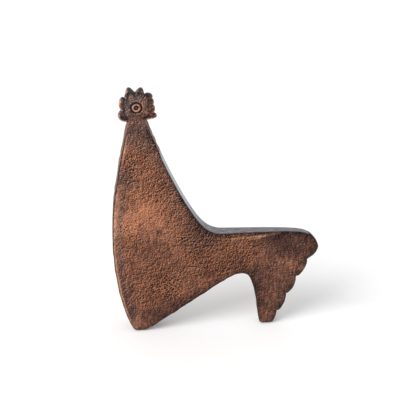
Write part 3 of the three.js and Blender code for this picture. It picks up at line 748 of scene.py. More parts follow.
@dataclass
class ShellCasting:
    """One half of the slab: a smooth ground band, a rounded edge and a rough as-cast face."""

    side: Side
    shape: HenOutline
    breast_thickness: float = 26.7
    tail_thickness: float = 9.7
    edge_radius: float = 3.0
    joint_share: float = 0.03
    ridge: float = 3.5
    crown_drop: float = 9.0
    band_steps: int = 5
    round_steps: int = 8
    face_steps: int = 62
    row_spacing: float = 1.06
    least_cosine: float = 0.62
    dimple: float = 0.42
    dimple_sizes: tuple[float, float] = (3.0, 1.9)
    wave: float = 0.35
    wave_size: float = 34.0
    pillow: float = 0.55
    pillow_reach: float = 10.0
    pillow_rest: float = 0.62
    ragged: float = 0.7
    ragged_size: float = 5.5
    ragged_share: float = 0.3
    ragged_seed: int = 5
    skin_widths: tuple[float, float, float] = (1.0, 14.0, 54.0)
    back_run: float = 500.0

    @property
    def name(self) -> str:
        """The CAD node that this casting stands for."""
        return "front_shell" if self.side is Side.FRONT else "back_shell"

    def face_at(self, x: Array, z: Array) -> Array:
        """Distance of the face from the middle plane: the wedge, rounded down at the neck's top.

        The wedge narrows evenly from the breast to the tail. The top is a quarter ellipse.

        Args:
            x: distance back from the breast.
            z: height.

        Returns:
            Half the slab's thickness there.
        """
        share = x / self.shape.length
        wedge = (self.breast_thickness + (self.tail_thickness - self.breast_thickness) * share) / 2
        rise = np.clip((z - self.shape.crown[1] + self.crown_drop) / self.crown_drop, 0.0, 1.0)
        crown = self.ridge + (wedge - self.ridge) * np.sqrt(1 - rise**2)
        return np.minimum(wedge, crown)

    def profile(self) -> RimProfile:
        """The rim's rows: a straight band, then a quarter round.

        The first band row is close to the joint, so that the joint shows as a thin line.

        Returns:
            The profile.
        """
        up = np.concatenate([[self.joint_share], np.linspace(0, 1, self.band_steps)[1:]])
        turn = np.linspace(0, math.pi / 2, self.round_steps + 1)[1:]
        inset = np.concatenate([np.zeros(self.band_steps), self.edge_radius * (1 - np.cos(turn))])
        drop = np.concatenate([up - 1, self.edge_radius * (1 - np.sin(turn))])
        drop[self.band_steps - 1] = self.edge_radius
        rough = np.concatenate([np.zeros(self.band_steps), smoothstep(0.1, 0.55, turn / turn[-1])])
        return RimProfile(inset, drop, rough, np.concatenate([up, np.ones(self.round_steps)]))

    def build(self) -> bpy.types.Object:
        """Makes the casting's surface and its values for the finish.

        Row by row: the joint plane's middle line, the outline on the joint, up the band, over the
        quarter-round edge, and in over the face to the spine.

        Returns:
            The casting as a closed mesh.
        """
        columns = {"tail": 66, "back": 124, "neck": 176, "breast": 118, "leg": 84}
        outline, spine, run = self.shape.walk(columns)
        inward = inward_of(outline, 2)
        profile = self.profile()
        rim_rows = len(profile.inset)
        rounded = inset_rows(outline, spine, inward, profile.inset, self.least_cosine)
        share = (np.arange(1, self.face_steps + 1) / self.face_steps) ** self.row_spacing
        face = rounded[-1][None] + (spine - rounded[-1])[None] * share[:, None, None]
        places = np.concatenate([spine[None], outline[None], rounded, face])

        level = self.face_at(places[..., 0], places[..., 1])
        height = level.copy()
        height[:2] = 0.0
        rim, drop = slice(2, 2 + rim_rows), profile.drop[:, None]
        on_band = (level[rim] - self.edge_radius) * (1 + drop)
        height[rim] = np.where(drop < 0, on_band, level[rim] - drop)
        points = np.stack([places[..., 0], -height, places[..., 1]], axis=-1)

        on_face = np.ones(self.face_steps)
        rough = np.concatenate([[0.0, 0.0], profile.rough, on_face])[:, None] * np.ones_like(level)
        climb = np.concatenate([[0.0, 0.0], profile.climb, on_face])[:, None]
        edge = np.hypot(*(places - outline[None]).transpose(2, 0, 1))
        edge[0] = 0.0
        fade = np.concatenate([[0.0], np.ones(1 + rim_rows), 1 - smoothstep(0, self.ragged_share, share)])
        push = (fade[:, None] * self.unevenness(outline, inward)[None])[..., None] * inward[None]
        points[..., 0] += push[..., 0]
        points[..., 2] += push[..., 1]
        domed = 1 - np.exp(-edge / self.pillow_reach) - self.pillow_rest
        points[..., 1] -= rough * self.pillow * domed

        first, rounding, middle = self.skin_widths
        on_rim = np.linspace(first, rounding, rim_rows)
        across = np.concatenate([[0.0, 0.0], on_rim, rounding + share * (middle - rounding)])
        start = 0.0 if self.side is Side.FRONT else self.back_run
        skin = Skin(self.name + "_skin", points, {}, across, start + np.append(run, run[-1] + 1))
        facing = -inward[None] * np.ones_like(level)[..., None]
        skin.values = self.values(skin, places, edge, facing, rough, climb)
        skin.points[..., 0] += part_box(self.name)[0].x / MM
        if self.side is Side.BACK:
            skin.points[..., 1] *= -1
        LOG.info("%s: %d grid points", self.name, level.size)
        return skin.build()

    def unevenness(self, outline: Array, inward: Array) -> Array:
        """How far the raw edge wanders in or out: a slow random field, more on the neck's hind top.

        Args:
            outline: the outline's points.
            inward: inward_of the outline.

        Returns:
            A distance in for each point, 0 where the band is smoothed by grinding.
        """
        nape = smoothstep(176, 190, outline[:, 1]) * smoothstep(0.3, 0.8, -inward[:, 0])
        raw = (1 - CastingMarks(self.side).ground_and_sheen(outline, -inward)) * self.ragged * (1 + 1.1 * nape)
        flat = np.stack([outline[:, 0], np.zeros(len(outline)), outline[:, 1]], axis=1)
        return raw * (CastField(self.ragged_seed).at(flat, self.ragged_size) - 0.5)

    def values(self, skin: Skin, places: Array, edge: Array, facing: Array, rough: Array,
               climb: Array) -> dict[str, Array]:
        """Raises the cast texture on the skin and works out the numbers that the finish reads.

        Args:
            skin: the smooth surface, whose points are moved.
            places: x and z of each grid point.
            edge: distance in from the outline.
            facing: the outline's outward direction.
            rough: share of the cast texture.
            climb: how far up the band each row is.

        Returns:
            A number per grid point, by name.
        """
        marks = CastingMarks(self.side)
        pits = marks.pits(places)
        joint = np.zeros_like(rough)
        joint[:2] = 1.0
        return {
            "relief": self.cast(skin, rough, pits),
            "coat": np.maximum(rough, smoothstep(206, 216, places[..., 1])),
            # line: the painted dark line of shade along the contour, up on the rounded edge
            "line": marks.line(places, edge) * smoothstep(0.5, 1.0, climb),
            "pits": pits,
            "holes": marks.holes(places),
            "tone": marks.tone(places, edge, facing),
            "ground_and_sheen": marks.ground_and_sheen(places, facing),
            "painted_highlight": marks.painted_highlight(places, edge, facing),
            "dusk": marks.dusk(places, edge, facing),
            "neck_band_sheen": marks.neck_band_sheen(places, facing),
            "joint": joint,
        }

    def cast(self, skin: Skin, rough: Array, pits: Array) -> Array:
        """Raises the rough cast texture: wrinkles of two sizes, deeper in patches, over slow waves.

        Args:
            skin: the smooth surface, whose points are moved along their normals.
            rough: how rough each point is, from 0 on the band to 1 on the face.
            pits: how deep the texture is, from 0 to 1.

        Returns:
            The relief, from 0 in the deepest recess to 1 on the highest spot.
        """
        seed = 11 if self.side is Side.FRONT else 47
        coarse, fine = (CastField(seed + k).wrinkles(skin.points, self.dimple_sizes[k]) for k in (0, 1))
        wave = CastField(seed + 3).at(skin.points, self.wave_size) - 0.5
        relief = 0.45 * coarse + 0.55 * fine
        moved = rough * (self.dimple * (0.3 + pits) * (relief - 0.6) + self.wave * wave)
        skin.points = skin.points + skin.leaving() * moved[..., None]
        return relief

    def dress(self, material: bpy.types.Material) -> None:
        """Builds the casting in its finish, in place of its CAD node."""
        stand_in(self.build(), self.name, "cast_copper_patina", material)


# The head


@dataclass(frozen=True)
class Lobe:
    """A lobe of the rim, in degrees and millimetres round the eye.

    Its tip and the notch after it are given, and its breadth as a share of its chord.
    """

    tip_angle: float
    reach: float
    breadth: float
    notch_angle: float
    notch_reach: float


@dataclass(frozen=True)
class Ring:
    """A ring round the eye: its radius, its half width and how far it stands up, or how bright it is.

    It is strongest toward a direction, in degrees from the eye, and fades over a spread round it.
    With an endless spread it is even.
    """

    radius: float
    width: float
    strength: float
    toward: float = 0.0
    spread: float = math.inf

    def at(self, reach: Array, angle: Array) -> Array:
        """Its strength at distances and directions from the eye, as bell curves of both."""
        around = bell(degrees_off(angle, self.toward), self.spread)
        return self.strength * bell(reach - self.radius, self.width) * around


def polar(offset: Array) -> tuple[Array, Array]:
    """Distances and directions, in degrees, of offsets in x and z."""
    return np.hypot(offset[..., 0], offset[..., 1]), np.degrees(np.arctan2(offset[..., 1], offset[..., 0]))


@dataclass
class HeadCasting:
    """The head: a flat plate with a lobed rim, sunk eye rings and creases between its lobes."""

    eye: tuple[float, float] = (26.1, 232.5)
    thickness: float = 7.0
    edge_radius: float = 1.9
    neck_middle: float = 26.2
    seat_half_width: float = 5.6
    seat: tuple[float, float] = (220.0, 218.9)
    columns: int = 520
    face_steps: int = 58
    round_steps: int = 7
    row_step: float = 0.35
    least_half: float = 0.4
    least_cosine: float = 0.55
    round_reach: float = 14.0
    disc_middle: float = 1.2
    disc_half_sizes: tuple[float, float] = (11.3, 12.6)
    disc_size: float = 12.0
    front_seed: int = 83
    back_seed: int = 89
    wave: float = 0.55
    wave_size: float = 4.6
    wrinkle: float = 0.22
    wrinkle_size: float = 1.5
    relief_size: float = 2.2
    lobes: tuple[Lobe, ...] = (
        Lobe(-30, 20.6, 0.26, -20.5, 16.6),
        Lobe(-6, 17.5, 0.28, 7.5, 15.3),
        Lobe(18, 17.3, 0.33, 30, 15.8),
        Lobe(41, 18.4, 0.61, 57, 14.2),
        Lobe(75, 18.8, 0.19, 94, 13.8),
        Lobe(112, 19.8, 0.12, 140.5, 14.0),
        Lobe(161, 16.7, 0.51, 191.5, 14.0),
        Lobe(214, 19.6, 0.37, 0, 0),
    )
    eye_rings: tuple[Ring, ...] = (
        Ring(3.2, 0.95, 0.55), Ring(4.9, 0.7, -0.75), Ring(0.0, 1.8, -1.3), Ring(0.0, 0.85, 1.0),
        Ring(6.2, 0.6, 0.5, -25, 75),
    )
    # eye_tones: the rings aimed at -130 and -10 degrees are painted highlights on the lit sides of the
    # eye's rings
    eye_tones: tuple[Ring, ...] = (
        Ring(3.15, 0.75, 0.5), Ring(3.15, 0.75, 0.4, -130, 80), Ring(4.9, 0.8, -0.65),
        Ring(1.8, 0.6, -0.65), Ring(0.0, 0.8, 0.4), Ring(6.4, 0.7, 0.4, -10, 70),
    )
    crease_width: float = 0.8
    crease_depth: float = 0.6
    crease_run: float = 3.5
    groove_width: float = 0.9
    cheek_strokes: tuple[Stroke, ...] = (
        Stroke((7.6, -4.2), (17.0, -8.8), 0.7, 0.55), Stroke((6.5, -7.4), (15.5, -10.0), 0.7, -0.5),
        Stroke((8.5, -2.0), (16.0, -4.8), 0.7, -0.35), Stroke((6.0, -11.5), (13.0, -11.6), 0.8, 0.4),
    )
    dimples: tuple[Mark, ...] = (
        Mark(-12.4, -8.6, 1.1, -0.8), Mark(-8.4, -9.8, 1.1, -0.8), Mark(-7.9, -13.2, 1.1, -0.5),
        Mark(16.6, -3.2, 1.1, -0.5),
    )

    def from_eye(self, angle: float, reach: float) -> Array:
        """A point at an angle and a distance from the eye."""
        turn = math.radians(angle)
        return np.array(self.eye) + reach * np.array([math.cos(turn), math.sin(turn)])

    def outline(self) -> Array:
        """The rim's outline: each lobe is one curve from notch to notch through its tip.

        Returns:
            Points as rows of x and z.
        """
        start = np.array([self.neck_middle + self.seat_half_width, self.seat[0]])
        end = np.array([self.neck_middle - self.seat_half_width, self.seat[1]])
        notches = [self.from_eye(lobe.notch_angle, lobe.notch_reach) for lobe in self.lobes[:-1]]
        curves = []
        for lobe, low, high in zip(self.lobes, [start, *notches], [*notches, end]):
            middle = (low + high) / 2
            pull = (self.from_eye(lobe.tip_angle, lobe.reach) - middle / 4) / (3 / 4)
            across = (high - low) * lobe.breadth
            curves.append(bezier([low, pull - across, pull + across, high], 90))
        curves.append(bezier([end, (start + end) / 2, start], 40))
        return np.vstack(curves)

    def off_disc(self, offset: Array) -> Array:
        """Distance outside of a rounded square between the lobes and the eye, less than 0 inside it."""
        shares = (offset - np.array([0.0, self.disc_middle])) / np.array(self.disc_half_sizes)
        return self.disc_size * ((shares**4).sum(axis=-1) ** 0.25 - 1)

    def relief(self, offset: Array) -> Array:
        """How far the face stands above its plane, in millimetres.

        It is a sum of rings (bell curves of the distance from the eye), creases (bell curves of the
        distance across a notch's direction), strokes and dimples (bell curves of a distance).

        Args:
            offset: x and z from the eye.

        Returns:
            Heights, negative in the grooves.
        """
        reach, angle = polar(offset)
        eye = sum(ring.at(reach, angle) for ring in self.eye_rings)
        groove = -0.3 * bell(self.off_disc(offset), self.groove_width)
        beak = np.sqrt(bell(degrees_off(angle, 172), 46))
        disc = -0.5 * beak * smoothstep(10.8, 12.6, reach) - 0.25 * smoothstep(9.0, 17.0, reach)
        creases = -self.crease_depth * sum(self.crease(lobe, angle, reach) for lobe in self.lobes[:-1])
        return eye + disc + groove + creases + total(self.cheek_strokes + self.dimples, offset)

    def crease(self, lobe: Lobe, angle: Array, reach: Array) -> Array:
        """The crease that runs in from the notch after a lobe.

        Args:
            lobe: the lobe before the notch.
            angle: directions from the eye, in degrees.
            reach: distances from the eye.

        Returns:
            1 on the crease and 0 away from it.
        """
        turn = np.radians(angle - lobe.notch_angle)
        off = np.where(np.cos(turn) > 0, reach * np.sin(turn), math.inf)
        inner = lobe.notch_reach - self.crease_run
        return bell(off, self.crease_width) * smoothstep(inner, lobe.notch_reach, reach)

    def tone(self, offset: Array, edge: Array, outward: Array) -> Array:
        """How much lighter (up to 1) or darker (down to -1) the patina is, with painted light and shade.

        Rims get a painted highlight where they face left or down and painted shade where they face up; the
        eye's ring is bright between dark grooves, with painted highlights toward its lower left and on the
        right of an outer ring. Each is a bell curve of a distance.

        Args:
            offset: x and z from the eye.
            edge: distance in from the rim.
            outward: the rim's outward direction.

        Returns:
            Tones, 0 where nothing changes.
        """
        reach, angle = polar(offset)
        eye = sum(ring.at(reach, angle) for ring in self.eye_tones)
        left, right = np.maximum(-outward[..., 0], 0), np.maximum(outward[..., 0], 0)
        down, up = np.maximum(-outward[..., 1], 0), np.maximum(outward[..., 1], 0)
        # painted highlight on rims facing left or down, painted shade on rims facing up
        rim = bell(edge, 1.5) * (0.75 * left + 0.35 * right + 0.5 * down - 0.55 * up)
        inside = -0.28 * bell(edge - 3.0, 1.2)
        beak = 0.16 * bell(degrees_off(angle, 165), 26) * smoothstep(11.5, 13.0, reach)
        groove = -0.32 * bell(self.off_disc(offset), self.groove_width)
        return eye + rim + inside + groove * smoothstep(-14.0, -8.0, offset[..., 1]) + beak

    def build(self) -> bpy.types.Object:
        """Makes the head's surface: rings from the eye out to the rim, over it, and back behind.

        Returns:
            The head as a closed mesh.
        """
        outline, eye, half = self.outline(), np.array(self.eye), self.thickness / 2
        lengths = arc_lengths(outline)
        run = np.linspace(0, lengths[-1], self.columns, endpoint=False)
        rim = at_lengths(outline, lengths, run)
        inward = inward_of(rim, 3)
        turn = np.linspace(0, math.pi / 2, self.round_steps + 1)
        inset = self.edge_radius * (1 - np.cos(turn))
        rounded = inset_rows(rim, eye, inward, inset, self.least_cosine)

        outer = rounded[-1] - eye
        far = np.hypot(*outer.T)
        share = np.linspace(0, 1, self.face_steps + 1)[:-1][:, None]
        lobed = smoothstep(0.46, 1.0, share)
        reach = share * (self.round_reach * (1 - lobed) + far[None] * lobed)
        face = eye + (outer / far[:, None])[None] * reach[..., None]
        places = np.concatenate([face, rounded[::-1]])
        sunk = self.relief(places - eye)
        rise = np.sin(turn[::-1])
        lowered = np.concatenate([np.zeros(self.face_steps), self.edge_radius * (1 - rise)])[:, None]
        fade = np.concatenate([np.ones(self.face_steps), rise])[:, None]
        height = np.maximum(half + sunk * fade - lowered, self.least_half)

        front = self.cast(places, -height, fade, self.front_seed)
        back = self.cast(places, height, fade, self.back_seed)
        points = np.concatenate([front, back[::-1]])
        offset = places - eye
        rim_away = np.maximum(far[None] + self.edge_radius - polar(offset)[0], 0.0)
        warm = smoothstep(-7.0, 9.0, offset[..., 0] - 0.7 * offset[..., 1])
        one_side = {"sunk": sunk, "tone": self.tone(offset, rim_away, -inward[None]), "warm": warm}
        values = {label: np.concatenate([grid, grid[::-1]]) for label, grid in one_side.items()}
        values["relief"] = CastField(self.front_seed).wrinkles(points, self.relief_size)
        across = np.arange(len(points)) * self.row_step
        skin = Skin("head_skin", points, values, across, np.append(run, lengths[-1]))
        skin.points[..., 0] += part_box("front_shell")[0].x / MM
        LOG.info("head: %d grid points, rim length %.0f mm", values["relief"].size, lengths[-1])
        return skin.build()

    def cast(self, places: Array, height: Array, fade: Array, seed: int) -> Array:
        """Puts one face in space, with uneven hand-worked waves and small wrinkles in its height.

        Args:
            places: x and z of each grid point.
            height: the smooth face's y.
            fade: 1 on the face, falling to 0 on the rim's middle line.
            seed: seed of the random fields.

        Returns:
            Points in millimetres; both faces have the same rim.
        """
        points = np.stack([places[..., 0], height, places[..., 1]], axis=-1)
        wave = CastField(seed).at(points, self.wave_size) - 0.5
        wrinkle = CastField(seed + 1).wrinkles(points, self.wrinkle_size) - 0.6
        points[..., 1] += np.sign(height) * fade * (self.wave * wave + self.wrinkle * wrinkle)
        return points

    def dress(self, material: bpy.types.Material) -> None:
        """Builds the head in its finish, in place of its CAD node."""
        stand_in(self.build(), "head", "cast_dark_patina", material)


# Finishes


def srgb(red: int, green: int, blue: int) -> tuple[float, float, float, float]:
    """A display colour as the linear colour that a shader takes.

    Args:
        red: from 0 to 255.
        green: from 0 to 255.
        blue: from 0 to 255.

    Returns:
        Red, green, blue and an alpha of 1.
    """
    shares = (red / 255, green / 255, blue / 255)
    return (*(c / 12.92 if c <= 0.04045 else ((c + 0.055) / 1.055) ** 2.4 for c in shares), 1.0)


class Signal:
    """An output socket whose numbers can be written into Python expressions."""

    def __init__(self, board: "Board", socket: bpy.types.NodeSocket) -> None:
        """Wraps a socket of a board's node tree."""
        self.board = board
        self.socket = socket

    def __add__(self, other: "Signal | float") -> "Signal":
        """Sum."""
        return self.board.math("ADD", self, other)

    __radd__ = __add__

    def __mul__(self, other: "Signal | float") -> "Signal":
        """Product."""
        return self.board.math("MULTIPLY", self, other)

    __rmul__ = __mul__

    def __sub__(self, other: "Signal | float") -> "Signal":
        """Difference."""
        return self.board.math("SUBTRACT", self, other)

    def __rsub__(self, other: "Signal | float") -> "Signal":
        """Difference from a number."""
        return self.board.math("SUBTRACT", other, self)

    def away_from(self, middle: float, gain: float) -> "Signal":
        """How far the value is from a middle, times a gain, up to 1."""
        off = self.board.math("ABSOLUTE", self - middle, 0.0)
        return self.board.node("ShaderNodeClamp", {}, {"Value": off * gain})

    def between(self, low: float, high: float) -> "Signal":
        """0 at low, 1 at high, with a smooth S between."""
        ends = {"Value": self, "From Min": low, "From Max": high}
        return self.board.node("ShaderNodeMapRange", {"interpolation_type": "SMOOTHSTEP"}, ends)


class Board:
    """A node tree of a material or the world, with one method that makes any node."""

    def __init__(self, name: str, kept_in: bpy.types.bpy_prop_collection = bpy.data.materials) -> None:
        """Starts an empty material or world."""
        self.owner = kept_in.new(name)
        self.owner.use_nodes = True
        self.tree = self.owner.node_tree
        self.tree.nodes.clear()

    def node(self, kind: str, settings: dict, inputs: dict, output: int | str = 0) -> Signal:
        """Makes a node.

        Args:
            kind: the node's type.
            settings: its properties, with "stops" for a ramp, set before its sockets.
            inputs: values or signals by socket name or index.
            output: which output to hand back.

        Returns:
            The chosen output.
        """
        made = self.tree.nodes.new(kind)
        for label, value in settings.items():
            if label == "stops":
                self.set_stops(made.color_ramp, value)
            else:
                setattr(made, label, value)
        for label, value in inputs.items():
            if isinstance(value, Signal):
                self.tree.links.new(value.socket, made.inputs[label])
            else:
                made.inputs[label].default_value = value
        return Signal(self, made.outputs[output])

    @staticmethod
    def set_stops(ramp: bpy.types.ColorRamp, stops: tuple[tuple[float, tuple], ...]) -> None:
        """Sets a ramp's stops.

        Args:
            ramp: the ramp of a new node, which has two stops.
            stops: the place and the colour of each.
        """
        while len(ramp.elements) < len(stops):
            ramp.elements.new(1.0)
        for element, (place, colour) in zip(ramp.elements, stops):
            element.position = place
            element.color = colour

    def math(self, operation: str, first: Signal | float, second: Signal | float) -> Signal:
        """A Math node of two values."""
        return self.node("ShaderNodeMath", {"operation": operation}, {0: first, 1: second})

    def blend(self, share: Signal | float, low: Signal | tuple, high: Signal | tuple) -> Signal:
        """A colour mix: low where share is 0, high where it is 1."""
        return self.node("ShaderNodeMix", {"data_type": "RGBA"}, {0: share, 6: low, 7: high}, 2)

    def vector(self, operation: str, first: Signal, second: tuple[float, float, float]) -> Signal:
        """A Vector Math node of a signal and a constant."""
        return self.node("ShaderNodeVectorMath", {"operation": operation}, {0: first, 1: second})

    def place(self, stretch: tuple[float, float, float] = (1, 1, 1)) -> Signal:
        """Object coordinates, stretched along each axis."""
        return self.vector("MULTIPLY", self.node("ShaderNodeTexCoord", {}, {}, "Object"), stretch)

    def value(self, label: str) -> Signal:
        """A number stored on the mesh's points."""
        return self.node("ShaderNodeAttribute", {"attribute_name": label}, {}, "Fac")

    def noise(self, where: Signal, scale: float, detail: float = 2.0, distortion: float = 0.0) -> Signal:
        """Noise of a scale, from 0 to 1."""
        inputs = {"Vector": where, "Scale": scale, "Detail": detail, "Distortion": distortion}
        return self.node("ShaderNodeTexNoise", {}, inputs, 0)

    def bump(self, height: Signal, distance: float, strength: float = 1.0) -> Signal:
        """Normals of small bumps, as high as a distance in metres."""
        inputs = {"Strength": strength, "Distance": distance, "Height": height}
        return self.node("ShaderNodeBump", {}, inputs)

    def seen(self) -> Signal:
        """1 for rays that show the background: from the camera, or by way of metal or glass."""
        kinds = ("Is Camera Ray", "Is Glossy Ray", "Is Transmission Ray")
        direct, glossy, through_glass = (self.node("ShaderNodeLightPath", {}, {}, kind) for kind in kinds)
        return self.math("MAXIMUM", direct, self.math("MAXIMUM", glossy, through_glass))

    def finish(self, surface: dict) -> bpy.types.Material:
        """Ends the tree in a principled surface with the given sockets."""
        self.show(self.node("ShaderNodeBsdfPrincipled", {}, surface))
        return self.owner

    def show(self, shader: Signal, kind: str = "ShaderNodeOutputMaterial") -> None:
        """Links a shader to the output."""
        self.tree.links.new(shader.socket, self.tree.nodes.new(kind).inputs["Surface"])


@dataclass(frozen=True)
class Ridges:
    """Worm-like ridges: their scale, how far each side is moved in metres, and their weight."""

    scale: float
    shift: float
    weight: float
    detail: float = 3.0
    swirl: float = 0.8
    steepness: float = 7.5

    def crests(self, board: Board, here: Signal, shift: float) -> Signal:
        """1 on the middle line of a noise that is moved by a shift to the left and up."""
        moved = board.vector("ADD", here, (shift, 0.0, -shift))
        return 1 - board.noise(moved, self.scale, self.detail, self.swirl).away_from(0.5, self.steepness)

    def lit_and_shaded_sides(self, board: Board, here: Signal) -> Signal:
        """Painted light on the side toward the lamp and painted shade behind it."""
        toward, behind = (self.crests(board, here, shift) for shift in (self.shift, -self.shift))
        return self.weight * (toward - behind)


@dataclass(frozen=True)
class Clouds:
    """A noise: its scale, its detail, how it swirls, and what of it counts as 0 and as 1."""

    scale: float
    detail: float
    swirl: float
    low: float
    high: float

    def at(self, board: Board, where: Signal) -> Signal:
        """The pattern, from 0 to 1."""
        return board.noise(where, self.scale, self.detail, self.swirl).between(self.low, self.high)


@dataclass(frozen=True)
class Tones:
    """A patina's colours, from its recesses over its shade and middle tone to its high spots."""

    recess: tuple
    shade: tuple
    middle: tuple
    high: tuple
    shade_at: float = 0.28
    middle_at: float = 0.58

    def ramp(self, board: Board, amount: Signal) -> Signal:
        """The colour at an amount of rubbing, 0 in the recesses and 1 on the high spots."""
        middles = ((self.shade_at, self.shade), (self.middle_at, self.middle))
        stops = ((0.0, self.recess), *middles, (1.0, self.high))
        return board.node("ShaderNodeValToRGB", {"stops": stops}, {"Fac": amount})


@dataclass(frozen=True)
class CopperPatina:
    """Rubbed antique copper over a rough casting: dark recesses, bright high spots, painted light and
    shade, painted highlights, and a band painted grey as the sky's reflection.
    """

    recess: tuple = srgb(34, 25, 23)
    orange: Tones = Tones(recess, srgb(84, 55, 46), srgb(142, 91, 69), srgb(236, 158, 114))
    dusky: Tones = Tones(recess, srgb(74, 62, 61), srgb(114, 89, 80), srgb(192, 150, 134))
    # highlight_colour: the colour of the painted highlights
    highlight_colour: tuple = srgb(240, 184, 150)
    # band, band_dark and band_bright: greys painted on the band as the sky's reflection, darker on the
    # level back and brighter up the neck
    band: tuple = srgb(140, 139, 146)
    band_dark: tuple = srgb(92, 89, 94)
    band_bright: tuple = srgb(172, 174, 182)
    # brown: the colour of the painted dark line of shade along the contour
    brown: tuple = srgb(44, 29, 24)
    lumps: Ridges = Ridges(190.0, 0.0006, 0.4)
    coarse: Ridges = Ridges(330.0, 0.0004, 0.52)
    fine: Ridges = Ridges(620.0, 0.00025, 0.62)
    cell_scale: float = 380.0
    swirls: Clouds = Clouds(260.0, 2.0, 1.8, 0.3, 0.7)
    swirl_stretch: tuple[float, float, float] = (1, 1, 0.35)
    blotches: Clouds = Clouds(60.0, 4.0, 0.5, 0.3, 0.7)
    flecks: Clouds = Clouds(430.0, 3.0, 0.8, 0.42, 0.62)
    # highlight_breaks: noise that breaks up the painted highlights
    highlight_breaks: Clouds = Clouds(170.0, 3.0, 1.0, 0.35, 0.62)
    streaks: Clouds = Clouds(5.0, 3.0, 0.0, 0.3, 0.7)
    streak_stretch: tuple[float, float, float] = (30.0, 160.0, 1.0)
    chip_scale: float = 260.0
    chip_depth: float = 1.8
    metallic: float = 0.72
    roughness: float = 0.54
    specular: float = 0.15
    bump_height: float = 0.001

    def grain(self, board: Board, here: Signal, pits: Signal) -> Signal:
        """Painted light and shade on the sides of ridges, swirls where it is calm, and rimmed cells where
        gas left pits.

        Args:
            board: the material.
            here: where the surface is.
            pits: how pitted it is there, from 0 to 1.

        Returns:
            A tone, about 0 on average.
        """
        # ridges and lumps: painted light and shade on the ridges' sides, also used as bumps
        ridges = self.coarse.lit_and_shaded_sides(board, here) + self.fine.lit_and_shaded_sides(board, here)
        lumps = pits * self.lumps.lit_and_shaded_sides(board, here)
        inputs = {"Vector": here, "Scale": self.cell_scale}
        cells = board.node("ShaderNodeTexVoronoi", {"feature": "DISTANCE_TO_EDGE"}, inputs, "Distance")
        holes = board.value("holes") * (0.66 - 1.1 * cells.between(0.02, 0.2))
        swirls = self.swirls.at(board, board.place(self.swirl_stretch)) - 0.5
        return (0.34 + 1.2 * pits) * ridges + lumps + holes + 0.3 * (1 - pits) * swirls

    def rubbed(self, board: Board, amount: Signal, dusk: Signal) -> Signal:
        """Copper rubbed by an amount, in orange or, where dusk is 1, under a greyer film.

        Args:
            board: the material.
            amount: 0 for dark recesses, 1 for high spots rubbed to the metal.
            dusk: share of the greyer film.

        Returns:
            A colour.
        """
        return board.blend(dusk, self.orange.ramp(board, amount), self.dusky.ramp(board, amount))

    def side_band(self, board: Board, grain: Signal, line: Signal, ground_and_sheen: Signal) -> Signal:
        """The band round the slab: streaked grey where it is smoothed by grinding, a painted reflection of
        the sky, and rubbed copper elsewhere.

        Args:
            board: the material.
            grain: the casting's grain, with painted light and shade on its ridges.
            line: 1 on the painted dark line of shade along the contour.
            ground_and_sheen: 1 where the band is smoothed by grinding and painted grey as the sky's
                reflection.

        Returns:
            A colour, with the joint between the castings as a dark line.
        """
        uv = board.node("ShaderNodeUVMap", {"uv_map": "Skin"}, {})
        streak = self.streaks.at(board, board.vector("MULTIPLY", uv, self.streak_stretch))
        # painted reflection: the band up the neck is painted brighter than the level back
        neck_band_sheen = board.blend(streak, self.band, self.band_bright)
        level = board.blend(streak, self.band_dark, self.band)
        # grain carries painted light and shade on the ridges
        raw = self.rubbed(board, 0.34 + 0.3 * streak + 0.5 * grain, streak)
        # painted shade: the dark line along the contour
        raw = board.blend(line, raw, self.brown)
        # painted reflection: the sky's grey on the band where it faces up
        band = board.blend(ground_and_sheen, raw, board.blend(board.value("neck_band_sheen"), level, neck_band_sheen))
        return board.blend(0.7 * board.value("joint"), band, self.recess)

    def material(self) -> bpy.types.Material:
        """Builds the material of the two half castings.

        Returns:
            The material.
        """
        board = Board("copper_patina")
        here = board.place()
        coat, pits, line = (board.value(label) for label in ("coat", "pits", "line"))
        chips = board.noise(here, self.chip_scale, 3.0, 0.5) - 0.5
        # the band smoothed by grinding and painted grey as the sky's reflection, with chipped ends
        ground_and_sheen = (board.value("ground_and_sheen") + self.chip_depth * chips).between(0.35, 0.6)
        grain = self.grain(board, here, pits)
        # painted highlights along the breast's edge and under the back, broken up by noise
        painted_highlight = board.value("painted_highlight") * (0.35 + 0.65 * self.highlight_breaks.at(board, here))
        relief, blotch = board.value("relief") - 0.6, self.blotches.at(board, here) - 0.5
        # amount also carries the painted shade near the edge, painted light and shade on the ridges and
        # the painted highlights
        amount = board.value("tone") + grain + 0.12 * relief + 0.15 * blotch + 0.3 * painted_highlight
        dusk = 0.6 * board.value("dusk") + 0.6 * self.flecks.at(board, here)
        copper = self.rubbed(board, amount, dusk)
        # painted highlight: blended toward a pale copper
        copper = board.blend(0.75 * painted_highlight, copper, self.highlight_colour)
        # painted shade: the dark line along the contour
        copper = board.blend(0.85 * line, copper, self.brown)
        colour = board.blend(coat.between(0.2, 0.7), self.side_band(board, grain, line, ground_and_sheen), copper)
        # the painted dark line of shade along the contour, also made duller and less metallic
        shaded_contour = line * (1 - ground_and_sheen)
        gloss = self.roughness - 0.08 * grain - 0.14 * (1 - coat) * ground_and_sheen + 0.3 * shaded_contour
        return board.finish({
            "Base Color": colour,
            "Metallic": self.metallic - 0.6 * shaded_contour,
            "Roughness": gloss,
            "Specular IOR Level": self.specular,
            "Normal": board.bump(coat * grain, self.bump_height),
        })


